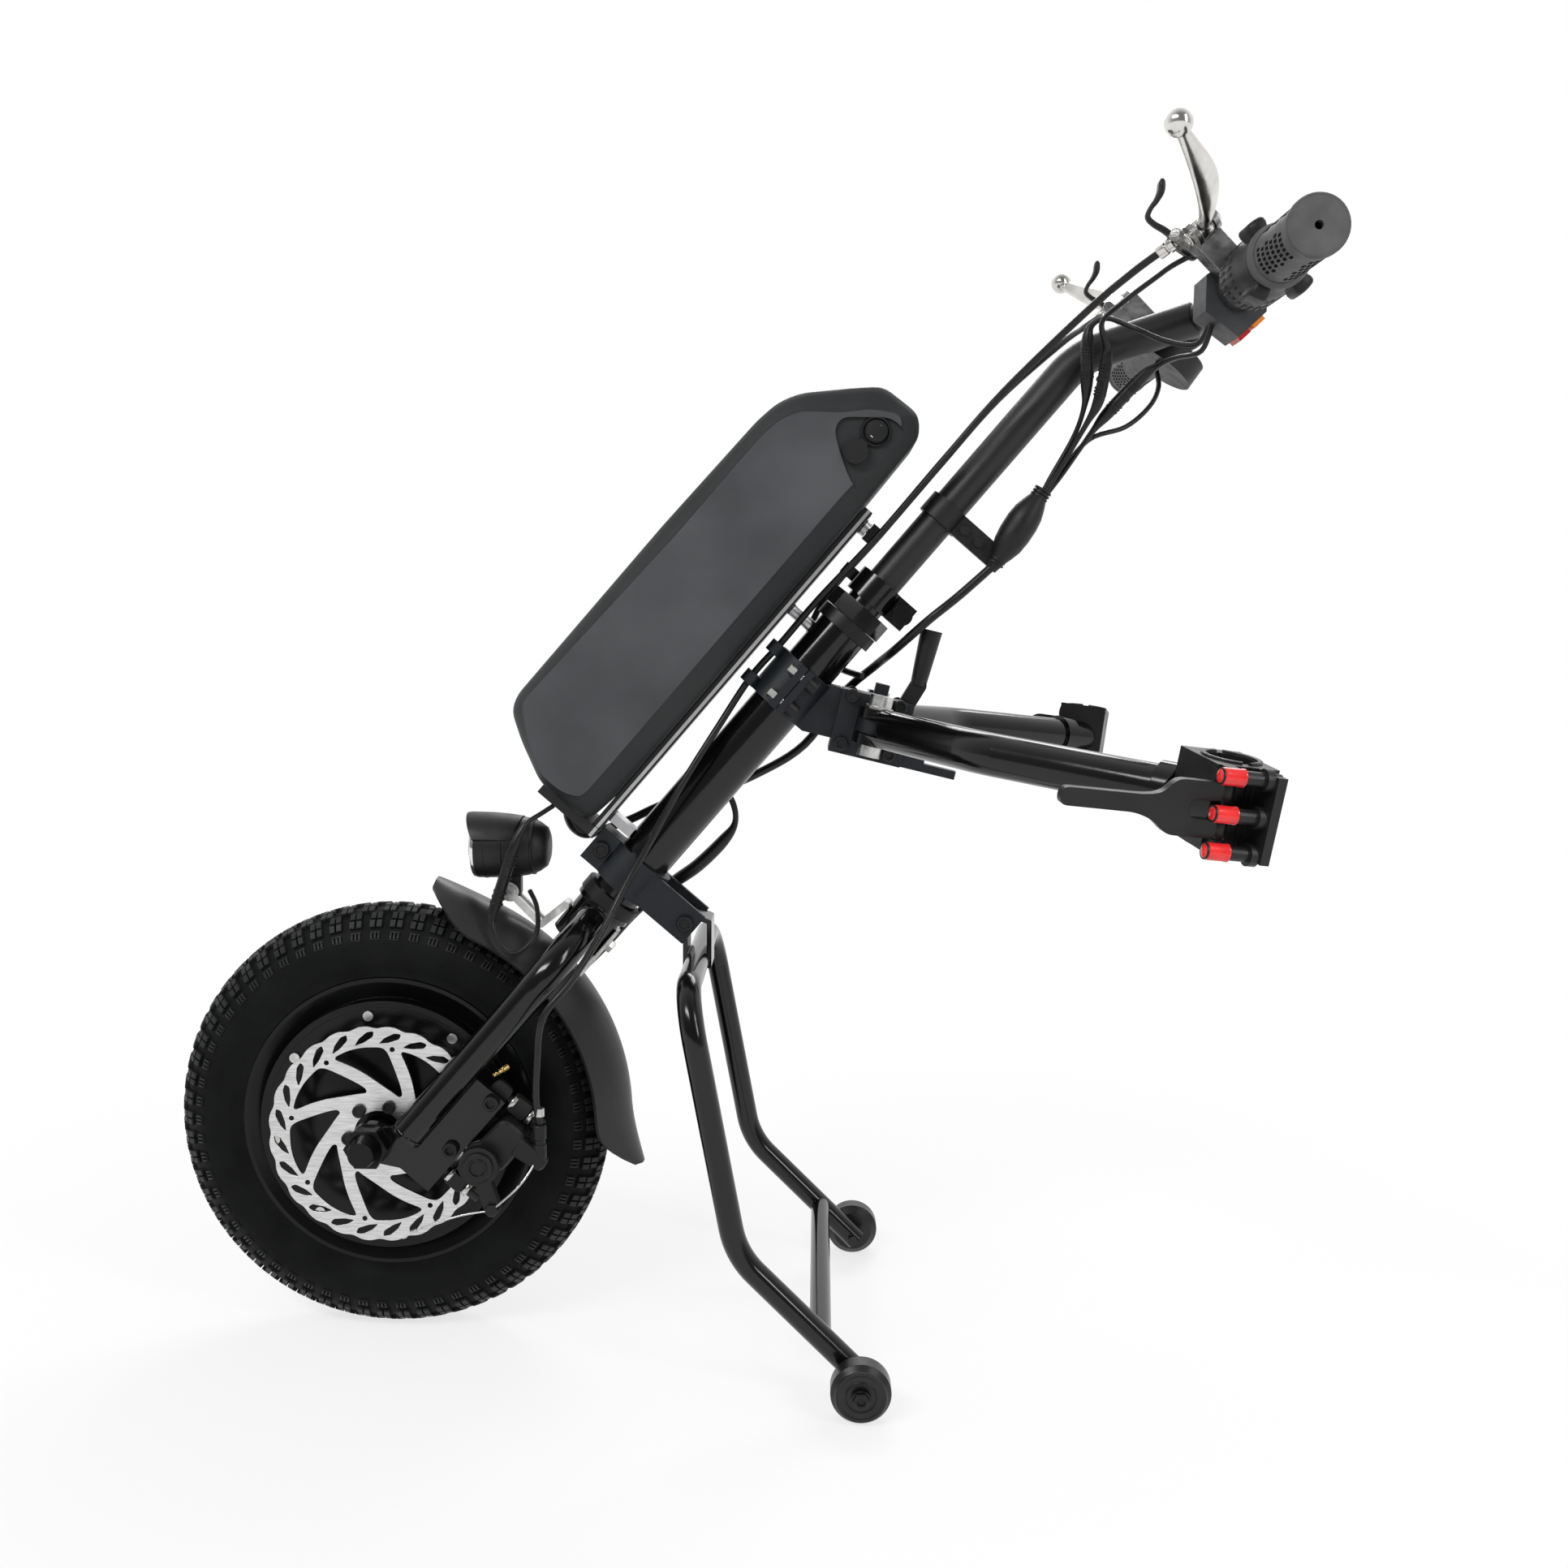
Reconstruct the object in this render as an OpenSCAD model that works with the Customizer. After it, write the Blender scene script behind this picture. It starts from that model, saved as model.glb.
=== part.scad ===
/* [Wheel] */
// Outside diameter of the tyre
tyre_od = 322; // [280:1:360]
// Width of the tyre
tyre_w = 58; // [50:1:62]
// Thickness of the tyre casing
tyre_wall = 4; // [3:0.5:6]
// Height of the tyre above the rim flange
tyre_h = 52.5; // [50:0.5:55]
// Width over the rim flanges
rim_w = 48; // [46:1:54]
// Distance from the rim flange in to the motor covers
cover_in = 20.5; // [18:0.5:23]
// Diameter of the brake disc
disc_od = 160; // [150:1:164]
// Thickness of the brake disc
disc_t = 1.9; // [1.5:0.1:2.4]
// Distance from the wheel's middle plane to the brake disc
disc_y = 51.4; // [48:0.2:54]
// Pitch circle of the brake disc bolts
disc_pcd = 44; // [42:1:46]
// Diameter of the axle
axle_d = 14; // [10:1:16]

/* [Fork] */
// Angle of the steering column from the vertical, in degrees
column_tilt = 40.4; // [38:0.2:43]
// Distance of the axle ahead of the steering axis
fork_offset = 15.5; // [12:0.5:20]
// Distance between the faces of the dropouts
dropout_gap = 132; // [130:1:138]
// Outside diameter of the fork legs
leg_d = 23; // [20:1:25]
// Distance from the tyre to the bottom of the crown
crown_gap = 29; // [26:1:40]
// Outside diameter of the steerer
steerer_od = 28.6; // [28:0.1:30]
// Length of the head tube
head_len = 256; // [240:1:300]
// Outside diameter of the head tube
head_od = 38.6; // [37:0.2:41]
// Bore of the head tube
head_bore = 34; // [33:0.2:35]

/* [Handlebar] */
// Outside diameter of the stem
stem_od = 25.4; // [24:0.1:26.4]
// Length of stem above the height clamp, up to its bend
stem_up = 193.5; // [180:0.5:230]
// Angle of the stem above its bend, from the vertical, in degrees
stem_bend_tilt = 71.6; // [64:0.2:80]
// Length of stem past its bend
stem_reach = 72.5; // [65:0.5:90]
// Outside diameter of the handlebar
bar_d = 22.2; // [20:0.1:23]
// Length of the handlebar over the grips
bar_len = 526; // [510:1:580]
// Diameter of the grips
grip_d = 33; // [30:1:35]
// Length of the grip beside the throttle
grip_len = 75; // [65:1:80]
// Diameter of the throttle sleeve
throttle_d = 40; // [37:1:42]
// Length of the throttle sleeve
throttle_len = 60; // [55:1:65]

/* [Battery] */
// Length of the battery
battery_len = 371; // [340:1:390]
// Thickness of the battery, away from the rail
battery_t = 99.5; // [90:0.5:105]
// Width of the battery
battery_w = 90; // [84:1:96]
// Distance of the battery from the steering axis
battery_n = 46; // [45:0.5:52]
// Wall of the battery case
battery_wall = 4; // [3:0.5:5]

/* [Hitch] */
// Forward lean of the hitch and its clamps, in degrees
hitch_tilt = 13; // [10:0.5:16]
// Diameter of the arm tubes
arm_d = 28; // [26:0.5:29]
// Wall of the arm tubes
arm_wall = 2.5; // [2:0.25:4]
// Length of the arms up to their bend
arm_root_len = 118; // [105:1:130]
// Length of the arms past their bend
arm_end_len = 136; // [125:1:150]
// Diameter of the wheelchair tube that the clamps hold
clamp_bore = 28; // [24:0.5:32]
// Height of the clamps
clamp_h = 50; // [48:1:60]

/* [Stand] */
// Diameter of the stand tube
stand_d = 17; // [15:0.5:19]
// Distance between the stand legs
stand_gap = 240; // [226:1:260]
// Length of the upper legs, down to their bend
stand_upper_len = 183; // [165:1:195]
// Lean of the upper legs, in degrees
stand_upper_tilt = 11; // [8:0.5:16]
// Lean of the lower legs, in degrees
stand_lower_tilt = 45.5; // [38:0.5:50]
// Diameter of the stand wheels
caster_d = 41; // [36:1:50]
// Width of the stand wheels
caster_w = 22; // [18:1:26]

/* [Lamp and guard] */
// Diameter of the lamp body
lamp_d = 47; // [42:1:50]
// Length of the lamp body
lamp_len = 54; // [50:1:60]
// Radius of the mudguard from the axle to its crown
guard_gap = 19; // [16:0.5:22]
// Width of the curve of the mudguard
guard_w = 80; // [74:1:84]

/* [Fits] */
// Clearance on the radius of a running fit
run_fit = 0.05; // [0.02:0.01:0.1]
// Gap between faces that pass each other
face_gap = 0.4; // [0.3:0.05:0.8]

/* [Hidden] */
// One overrun serves every cut
over = 5;
// Hairline between the straight and the bent lengths of a tube
seam = 0.02;
$fn = 64;

// Tread, rim, motor and brake disc
tread_depth = 2.6;
tread_blocks = 62;
tread_slot_w = 5.6;
tread_slot_len = 13;
tread_turn = 30;
tread_groove = 1.4;
flange_h = 6.5;
flange_t = 3;
rim_step_t = 5;
rim_wall_drop = 5.5;
cover_t = 3.5;
motor_half = 28;
cover_turn = 8;
magnet_t = 6;
cover_land = 6;
cover_dome_h = 6.5;
boss_root_r = 32;
boss_r = 27;
right_boss_h = 8;
bearing_r = 13;
bearing_w = 12;
cover_screws = 8;
cover_screw_in = 5;
screw_d = 4;
screw_head_d = 7.5;
screw_head_h = 2;
disc_bolt_d = 5;
disc_bolt_head_d = 8.5;
disc_bolt_head_h = 2.6;
disc_bolts = 6;
disc_hub_w = 9;
disc_band_w = 15.5;
disc_arm_w = 8;
disc_arms = 8;
disc_arm_start = 35;
disc_arm_turn = 40;
disc_arm_mid_turn = 11;
disc_arm_mid_share = 0.7;
disc_slots = 24;
disc_slot_len = 13;
disc_slot_w = 3.2;
disc_slot_turn = -42;
disc_wave_r = 10;
disc_wave_h = 1.5;
valve_d = 6;
valve_len = 16;
valve_turn = 20;
stator_gap = 2;
stator_hole_share = 0.4;
stator_holes = 6;

// Axle and dropouts
dropout_t = 6;
dropout_r = 15;
nut_w = 27;
nut_h = 12;
nut_dome_h = 12;
nut_dome_r = 12;
washer_r = 15;
washer_t = 2;
spacer_r = 11.5;
axle_tip = 4;
caliper_tab_w = 26;
caliper_tab_len = 66;

// Fork, headset and height clamp
leg_bend_r = 48;
leg_bend_turn = 70;
leg_stub = 30;
leg_foot = 20;
leg_shift = 1;
crown_d = 38;
crown_h = 32;
race_h = 4;
race_d = 44;
cup_h = 9.7;
cup_d = 46;
cup_insert = 12;
nut_ring_d = 48;
nut_ring_h = 13;
collar_gap = 4;
collar_d = 37;
collar_h = 19;
collar_ear = 13;
collar_ear_w = 7;
collar_slit = 3;
skewer_d = 6;
skewer_n = 25;
knob_d = 15;
knob_t = 6;
knob_gap = 9;
quick_len = 52;
quick_w = 9;
quick_t = 6;
quick_y = 23;
quick_hub_d = 13;

// Mudguard and lamp
guard_t = 2.5;
guard_side_drop = 22;
guard_start = -9;
guard_turn = 87;
guard_post_d = 14;
stay_t = 2.6;
stay_w = 16;
stay_up = 26;
stay_nut_d = 9;
stay_nut_h = 4;
lamp_n = -87;
lamp_up = 17;
lamp_rear_len = 24;
lamp_rear_r = 15;
lamp_rim_t = 3;
lens_h = 7;
lens_bulge = 3;
visor_t = 2.5;
visor_len = 26;
visor_out = 7;
visor_turn = 130;
lamp_foot_w = 8;
lamp_foot_len = 16;
lamp_pivot_drop = 33;
lamp_pivot_d = 6;
lamp_eye_r = 7;
lamp_eye_t = 4;
lamp_nut_d = 11;
rod_d = 5;
rod_low_n = -26;
rod_low_up = -6;
rod_tab_up = 17;

// Brake caliper
caliper_n = 40;
caliper_depth = 28;
caliper_s = 24;
caliper_len = 56;
caliper_in_y = 36;
caliper_out_y = 80;
disc_slot = 6;
pad_gap = 0.4;
pad_len = 30;
pad_depth = 14;
bracket_t = 5.5;
bracket_w = 15;
bracket_low_s = 5;
bracket_len = 90;
ear_len = 14;
ear_w = 8;
post_d = 6;
post_len = 32;
post_washer_r = 6;
post_washer_t = 3;
caliper_bolt_d = 11;
caliper_bolt_h = 5;
caliper_pivot_n = 52;
caliper_pivot_s = 44;
caliper_pivot_d = 8;
caliper_arm_r = 14;
caliper_arm_t = 8;
caliper_arm_n = 27;
caliper_arm_s = -17;
caliper_arm_w = 11;
barrel_x = 121;
barrel_z = -7;
barrel_y = 75;
barrel_d = 10;
barrel_len = 24;
barrel_bore = 2.6;
barrel_lug_s = 66;
barrel_lug_len = 20;

// Stem, handlebar and controls
stem_wall = 2;
stem_bend_r = 60;
stem_in = 140;
bar_wall = 2.4;
bar_end_t = 5;
bar_end_hole = 5;
throttle_tab_h = 6;
throttle_tab_w = 13;
throttle_tab_len = 24;
throttle_tab_turns = [125, 245, 318];
lever_angle = 135;
lever_clamp_w = 16;
lever_clamp_wall = 5;
lever_gap_y = 4;
lever_pivot_r = 44;
lever_pivot_out = 3;
lever_pivot_d = 5;
lever_body_t = 18;
lever_root_t = 10;
lever_ear_r = 8;
lever_rise = 51;
lever_len = 89;
lever_mid_rise_share = 0.3;
lever_mid_len_share = 0.5;
lever_w = 9;
lever_t = 9;
lever_ball_d = 16.5;
latch_r = 52;
latch_t = 13;
latch_bar = 3.4;
latch_w = 8;
latch_reach = 22;
latch_tip = 20;
latch_hub_d = 8;
latch_pin_d = 3;
latch_lug = 3;
switch_w = 34;
switch_gap = 2;
switch_front = 22;
switch_rear = 17;
switch_top = 14;
switch_drop = 32;
switch_round_share = 0.5;
button_w = 20;
button_h = 9;
button_t = 6;
button_out = 3;
button_pitch = 12;
button_travel = 2;
display_d = 58;
display_t = 17;
display_y = 46;
display_x = -11;
display_z = -13;
display_turn = 35;
display_clamp_w = 12;
display_arm = 8;
band_up = 57;
band_h = 16;
band_t = 2.8;
band_lug_w = 6;
band_lug_y = -3;
hub_n = 48;
hub_d = 22;
hub_len = 60;
hub_neck_d = 10;
hub_lean = -8;
hub_up = 16;
hub_y = -12;
band_screw_d = 7;
band_screw_h = 3;
band_screw_pitch = 13;

// Battery and rail
battery_up = 33;
battery_bevel = 11;
battery_edge = 12;
battery_shares = [[0, 0.065], [0.1, 0.006], [0.48, 0], [0.8, 0.042], [0.985, 0.085], [1, 0.11],
                  [0.99, 0.82], [0.85, 0.89], [0.46, 0.99], [0.18, 1], [0.06, 0.978], [0, 0.9]];
cell_gap = 1.5;
cell_low_share = 0.1;
cell_high_share = 0.8;
cell_side_share = 0.08;
rail_t = 7;
rail_w = 40;
rail_len = 300;
rail_wall = 2.5;
foot_t = 8;
foot_w = 44;
foot_depth = 45;
strut_d = 9;
strut_up = 244;
strap_t = 7;
strap_w = 16;
strap_up = 40;
rocker_d = 15.6;
rocker_t = 7;
rocker_out = 2;
rocker_up_share = 0.92;
rocker_n_share = 0.27;
rocker_rim = 0.9;
rocker_tip = 1.5;
rocker_pin_d = 2;
port_d = 13;
port_cap_d = 17;
port_cap_t = 3;
port_knuckle_d = 2.4;
port_knuckle_len = 6;
port_up_share = 0.867;
port_n_share = 0.285;
key_in = 9.6;
key_y = 12;
key_lock_d = 12;
key_lock_h = 5;
key_head_w = 14;
key_clear = 1.2;
key_head_t = 3;
key_stem_d = 4;

// Hitch on the head tube
hitch_clamp_up = 183;
hitch_clamp_h = 37;
hitch_n = 61.7;
hitch_lift = 18.5;
hitch_ring_t = 5;
hitch_flange_out = 13;
hitch_flange_t = 6;
hitch_bolt_d = 6;
hitch_bolt_pitch = 22;
hitch_bolt_head_d = 9;
hitch_bolt_head_h = 6;
hitch_block_w = 28;
hitch_plate_t = 6;
hitch_back = 28;
hitch_front = 25;
hitch_top = 21;
hitch_low = 25;
hitch_neck_len = 44;
hitch_screw_x = 20;
hitch_screw_rear_x = 15;
hitch_screw_z = 17.5;
hitch_screw_d = 5;
hitch_screw_head_d = 9;
hitch_screw_head_h = 3;
tongue_t = 10;
tongue_r = 12.5;
arm_bolt_d = 10;
arm_bolt_head_d = 17;
arm_bolt_head_h = 8;
arm_bolt_washer_d = 20;
arm_y = 35.5;
arm_rise = 5.5;
arm_root_turn = 56;
arm_end_turn = 36;
arm_bend_r = 80;
arm_slot_r = 25;
arm_flat = 1;
arm_collar_t = 2.5;
arm_collar_len = 12;
stop_w = 14;
stop_len = 10;
stop_h = 9;
latch_block_len = 17;
latch_block_h = 13;
latch_block_w = 24;
latch_arm_len = 24;
latch_arm_h = 6;
lock_x = 16;
lock_z = 7;
lock_t = 8;
lock_w = 12;
lock_pin_d = 6;
lock_up = 28;
lock_lean = 9;
lock_handle_len = 35;
lock_handle_root_d = 11.5;
lock_handle_tip_d = 16;
lock_slot_len = 20;
clip_n = 28;
clip_y = 10;
clip_d = 12;
clip_bore = 7.4;
clip_h = 9;

// Wheelchair tube clamps
clamp_ahead = 17.8;
clamp_aside = 27.8;
clamp_lift = 2;
clamp_turn = 15;
clamp_swivel = 8;
block_front = 20;
block_in = 20;
block_out = 22;
block_foot = 4;
jaw_depth = 18.5;
jaw_gap = 0.6;
ear_x = 5;
ear_t = 5.5;
ear_out = 23;
tie_d = 8.5;
tie_y = 37;
tie_pitch = 21.5;
tie_front = 12;
tie_cap_len = 14;
tie_cap_d = 9.4;
tie_nut_d = 13;
tie_nut_h = 5;
handle_t = 5.5;
handle_y = 24.4;
handle_pin_x = -14;
handle_pin_y = 27;
handle_pin_d = 4;
handle_lug_r = 4;
handle_finger_h = 11;
handle_wide_x = -38;
handle_wide_len = 11;
handle_tip_x = -108;
handle_bar_h = 10.5;

// Stand
stand_pivot_n = 52.8;
stand_pivot_d = 8;
stand_plate_t = 4;
stand_plate_y = 16;
stand_plate_h = 26;
stand_collar_t = 5;
stand_collar_up = 7;
stand_collar_h = 28;
stand_lug_len = 18;
stand_lug_w = 24;
stand_lug_bolt_d = 11;
stand_lug_bolt_h = 3;
stand_bar_x = 9;
stand_bar_z = -28.5;
stand_top_r = 35;
stand_knee_r = 60;
stand_yoke_w = 30;
stand_yoke_t = 3.5;
stand_hub_d = 17;
stand_cross_d = 15;
stand_cross_share = 0.68;
caster_gap = 1.5;
caster_bolt_d = 8;
caster_bolt_head_d = 13;
caster_bolt_head_h = 4;
caster_round = 5;

// Cables: radii, inner wire, sides and rings between two points of a route
housing_r = 2.5;
control_r = 3.2;
motor_r = 2.4;
lead_r = 1.8;
wire_d = 1.8;
cable_sides = 8;
cable_steps = 3;

// Wheel and column
wheel_z = tyre_od / 2;
rim_od = tyre_od - 2 * tyre_h;
cover_od = rim_od - 2 * cover_in;
cover_pcd = cover_od - 2 * cover_screw_in;
bead_r = rim_od / 2 - flange_h;
crown_s = tyre_od / 2 + crown_gap;
race_s = crown_s + crown_h;
cup_s = race_s + race_h + face_gap;
head_s = cup_s + cup_h;
head_top = head_s + head_len;
nut_s = head_top + cup_h + face_gap;
collar_s = nut_s + nut_ring_h + collar_gap;
steerer_top = collar_s + collar_h;
bend_turn = stem_bend_tilt - column_tilt;
bend_s = steerer_top + stem_up;
leg_y = dropout_gap / 2 + dropout_t / 2 + leg_shift;
bar_half = bar_len / 2;

// The handlebar
bar_n = stem_bend_r * (1 - cos(bend_turn)) + stem_reach * sin(bend_turn);
bar_s = bend_s + stem_bend_r * sin(bend_turn) + stem_reach * cos(bend_turn);
foot_x = fork_offset * cos(column_tilt);
foot_z = wheel_z - fork_offset * sin(column_tilt);
bar_reach = foot_x + bar_n * cos(column_tilt) + bar_s * sin(column_tilt);

// The wheel stands so far forward that the part is centred on its origin
tab_back_turn = throttle_tab_turns[2];
bar_back = (throttle_d / 2 + throttle_tab_h) * cos(tab_back_turn) - throttle_tab_w / 2 * sin(tab_back_turn);
wheel_x = (tyre_od / 2 - bar_reach - bar_back) / 2;
axis_x = wheel_x + foot_x;
axis_z = foot_z;
bar_x = wheel_x + bar_reach;
bar_z = axis_z + bar_s * cos(column_tilt) - bar_n * sin(column_tilt);

// Controls along the handlebar
throttle_out = bar_half - grip_len - face_gap;
throttle_in = throttle_out - throttle_len;
lever_y = throttle_in - lever_gap_y - lever_clamp_w;
switch_y = lever_y - switch_gap - switch_w;

// Battery, hitch and stand
battery_s = head_s + battery_up;
key_s = battery_s - face_gap + rail_len - key_in;
key_head_h = battery_n - rail_t - key_lock_h - 2 * face_gap - nut_ring_d / 2 - key_clear;
hitch_clamp_s = head_s + hitch_clamp_up;
hitch_s = hitch_clamp_s + hitch_clamp_h / 2 + hitch_lift;
hitch_x = axis_x + hitch_n * cos(column_tilt) + hitch_s * sin(column_tilt);
hitch_z = axis_z + hitch_s * cos(column_tilt) - hitch_n * sin(column_tilt);
arm_tangent = arm_bend_r * tan((arm_root_turn - arm_end_turn) / 2);
arm_tip_x = arm_root_len * cos(arm_root_turn) + arm_end_len * cos(arm_end_turn);
arm_tip_y = arm_y + arm_root_len * sin(arm_root_turn) + arm_end_len * sin(arm_end_turn);
clamp_x = arm_tip_x + clamp_ahead;
clamp_y = arm_tip_y + clamp_aside;
clamp_z = arm_tip_x * tan(arm_rise) + clamp_lift;
stand_collar_s = head_s + stand_collar_up;
stand_pivot_s = stand_collar_s + stand_collar_h / 2;
pivot_x = axis_x + stand_pivot_n * cos(column_tilt) + stand_pivot_s * sin(column_tilt);
pivot_z = axis_z + stand_pivot_s * cos(column_tilt) - stand_pivot_n * sin(column_tilt);
top_bar_x = pivot_x + stand_bar_x;
top_bar_z = pivot_z + stand_bar_z;
knee_turn = stand_lower_tilt - stand_upper_tilt;
knee_tangent = stand_knee_r * tan(knee_turn / 2);
knee_x = top_bar_x + stand_upper_len * sin(stand_upper_tilt);
knee_z = top_bar_z - stand_upper_len * cos(stand_upper_tilt);
stand_lower_len = (knee_z - caster_d / 2) / cos(stand_lower_tilt);
caster_x = knee_x + stand_lower_len * sin(stand_lower_tilt);
caster_y = stand_gap / 2 + stand_d / 2 + caster_gap;

// Cable routes: hand-picked points across, aside and along the column, with a radius where it isn't the
// cable's own. They follow marks: caliper, head tube, hitch clamp, top of the head tube, hub, stem bend
route_marks = [110, 236.1, 456.1, 492.1, 659.2, 731.7];
hub_top = steerer_top + band_up + band_h / 2 + hub_up + 2 * hub_len / 3;
mark_places = [route_marks[0], head_s, hitch_clamp_s + hitch_clamp_h, head_top, hub_top, bend_s];
function along(s) = lookup(s, concat([[0, 0]], [for (k = [0 : 5]) [route_marks[k], mark_places[k]]],
  [[2 * route_marks[5], bend_s + route_marks[5]]]));
brake_route = [[-5.6, -112, 810], [-11.5, -98, 788.6], [-17.6, -70, 757.2], [-24.5, -36, 689.6],
  [-25.1, -24, 628.7], [-24.9, -18, 560.6], [-27.8, -14, 499.1], [-27.7, -10, 455.8], [-28.1, -10, 423.9],
  [-22.3, -20, 381.6], [-15.3, -29, 336.3], [-6.1, -33, 291.6], [2.1, -40, 252.6], [10.7, -56, 219.3],
  [15.9, -78, 187], [17.7, -88, 155.6], [36.6, -84, 125.7], [52.5, -77, 103.9], [65.5, -75, 91.7]];
release_route = [[-5.6, 112, 810], [-10.9, 92, 787.9], [-16, 60, 759.9], [-24.3, 22, 692.5],
  [-24.9, 20, 631.5], [-24.7, 28, 563.4], [-25.1, 29, 505.2], [-15, 31, 471.8], [3.8, 29, 468.2],
  [19.7, 20, 471.1], [32.9, 6, 477.2]];
control_route = [[50.8, -12, 598.1], [46.5, -14, 566.2], [41.4, -16, 538.2], [38.2, 2, 507.9],
  [36, 24, 489], [32, 36, 456.7], [35.3, 34, 409.6], [22.9, 30, 370.1], [6.1, 30, 337.4],
  [-14.9, 30, 306.5], [-26.9, 30, 280.5], [-36.6, 30, 256.5], [-45.5, 30, 243.7, 5.5],
  [-55.9, 30, 237.4, 6], [-66.9, 30, 241.2, 6], [-69.8, 30, 249.2, 6], [-68.6, 30, 264.7, 6]];
lamp_route = [[-48.4, -8, 197.8], [-36, -18, 194], [-24.1, -34, 183.1], [-24.7, -42, 166.8],
  [-35.8, -42, 161.3], [-50.2, -38, 167.5], [-56.8, -34, 173.7, 4], [-68.2, -31, 199.4, 4.4],
  [-77.1, -31, 220.7, 4], [-81.4, -28, 238.1], [-78.3, -20, 249.9], [-75.5, -16, 259.5]];
motor_route = [[6, 31, 345.3], [22.7, 32, 341.1], [34.6, 33, 330.2], [36.8, 33, 313.7, 4.6],
  [34.6, 33, 286.9, 5], [29.3, 34, 265.3, 4.6], [26.7, 42, 249.9], [24, 62, 216.1], [23.8, 86, 170],
  [17.3, 88, 115.9], [5.4, 88, 55.9], [-3.6, 90, 32.5]];
throttle_route = [[51.6, -74, 788.5], [36, -60, 780.5], [14.4, -46, 776.6], [-3.6, -32, 773.1],
  [-8.6, -26, 763.5, 2.4], [-2.3, -24, 753.1, 4.4], [14.6, -21, 734.7, 4.4], [24.9, -19, 721.1, 2],
  [33.3, -16, 702], [40, -14, 671], [43.7, -13, 655.8]];
brake_lead_route = [[4.8, -104, 806.5], [1.9, -92, 797.5], [-3.1, -70, 778.7], [-4.9, -46, 765.4],
  [8.1, -32, 759.4, 2.6], [14.7, -28, 753.2, 4], [29.1, -25, 730, 4], [34.1, -22, 711.9, 2],
  [41.7, -15, 675.1], [45.3, -13, 657.1]];
display_route = [[47.2, 32, 787.4], [57.6, 22, 775.2], [61.1, 8, 757.2], [57, -4, 732.7],
  [42.9, -10, 707.6], [43.8, -11, 674.2], [45.3, -12, 657.1]];
switch_route = [[56.2, -84, 784.6], [48.6, -56, 778.1], [43.8, -34, 771.4, 2.4], [41.4, -24, 758.8, 4.4],
  [40.4, -17, 729.1, 4.4], [41.1, -14, 711.3, 2], [44.8, -12, 677.7], [46, -12, 657.7]];

// Frames that the pieces are drawn in
module at_wheel() translate([wheel_x, 0, wheel_z]) rotate([90, 0, 0]) children();
module in_column() translate([axis_x, 0, axis_z]) rotate([0, column_tilt, 0]) children();
module at_bar() translate([bar_x, 0, bar_z]) rotate([90, 0, 0]) children();
module in_lever() translate([bar_x, 0, bar_z]) rotate([0, -lever_angle, 0]) children();
module in_hitch() translate([hitch_x, 0, hitch_z]) rotate([0, hitch_tilt, 0]) children();
module in_clamp() in_hitch() translate([clamp_x, clamp_y, clamp_z])
  rotate(a = -clamp_swivel, v = [cos(arm_end_turn), sin(arm_end_turn), 0]) rotate(-clamp_turn) children();
module left_side() mirror([0, 1, 0]) children();
module both_sides() {
  children();
  mirror([0, 1, 0]) children();
}

// A box between two corners
module block(low, high) translate(low) cube(high - low);

// A round bar along Y between two places
module bar_y(d, from, to) translate([0, to, 0]) rotate([90, 0, 0]) cylinder(d = d, h = to - from);

// A flat outline drawn in X and Z, made solid between two places along Y
module slab_y(from, to) translate([0, to, 0]) rotate([90, 0, 0]) linear_extrude(to - from) children();

// A tube along Z
module pipe(d, bore, h) difference() {
  cylinder(d = d, h = h);
  translate([0, 0, -over]) cylinder(d = bore, h = h + 2 * over);
}

// The bent length of a tube, in X and Y about Z, starting along X
module bend(r, turn, d, bore = 0) {
  edge = seam / r * 180 / PI;
  rotate(edge) rotate_extrude(angle = turn - 2 * edge) translate([r, 0]) difference() {
    circle(d = d);
    if (bore > 0) circle(d = bore);
  }
}

// A flat bar with round ends between two points of an outline
module link(p, q, w) {
  d = q - p;
  translate(p) rotate(atan2(d.y, d.x)) translate([0, -w / 2]) square([norm(d), w]);
  translate(p) circle(d = w + 2 * seam);
  translate(q) circle(d = w + 2 * seam);
}

// Copies round a circle
module ring_of(count, r, start = 0) for (k = [0 : count - 1])
  rotate(start + k * 360 / count) translate([r, 0, 0]) children();

// Smooth points through a route, with the radius as their fourth value
function spline(a, b, c, d, t) = 0.5 * (2 * b + (c - a) * t + (2 * a - 5 * b + 4 * c - d) * t * t
  + (3 * b - a - 3 * c + d) * t * t * t);
function smooth(r) = let (n = len(r) - 1) [
  for (i = [0 : n - 1], k = [0 : cable_steps - 1])
    spline(r[max(i - 1, 0)], r[i], r[i + 1], r[min(i + 2, n)], k / cable_steps),
  r[n]];
function place(p) = [p.x, p.y, p.z];
function unit(v) = v / norm(v);
function heading(p, i) = unit(place(p[min(i + 1, len(p) - 1)]) - place(p[max(i - 1, 0)]));
function across(p, i, last) = let (t = heading(p, i)) unit(last - (last * t) * t);
function acrosses(p, i, last) = i == len(p) ? [] :
  let (u = across(p, i, last)) concat([u], acrosses(p, i + 1, u));

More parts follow.
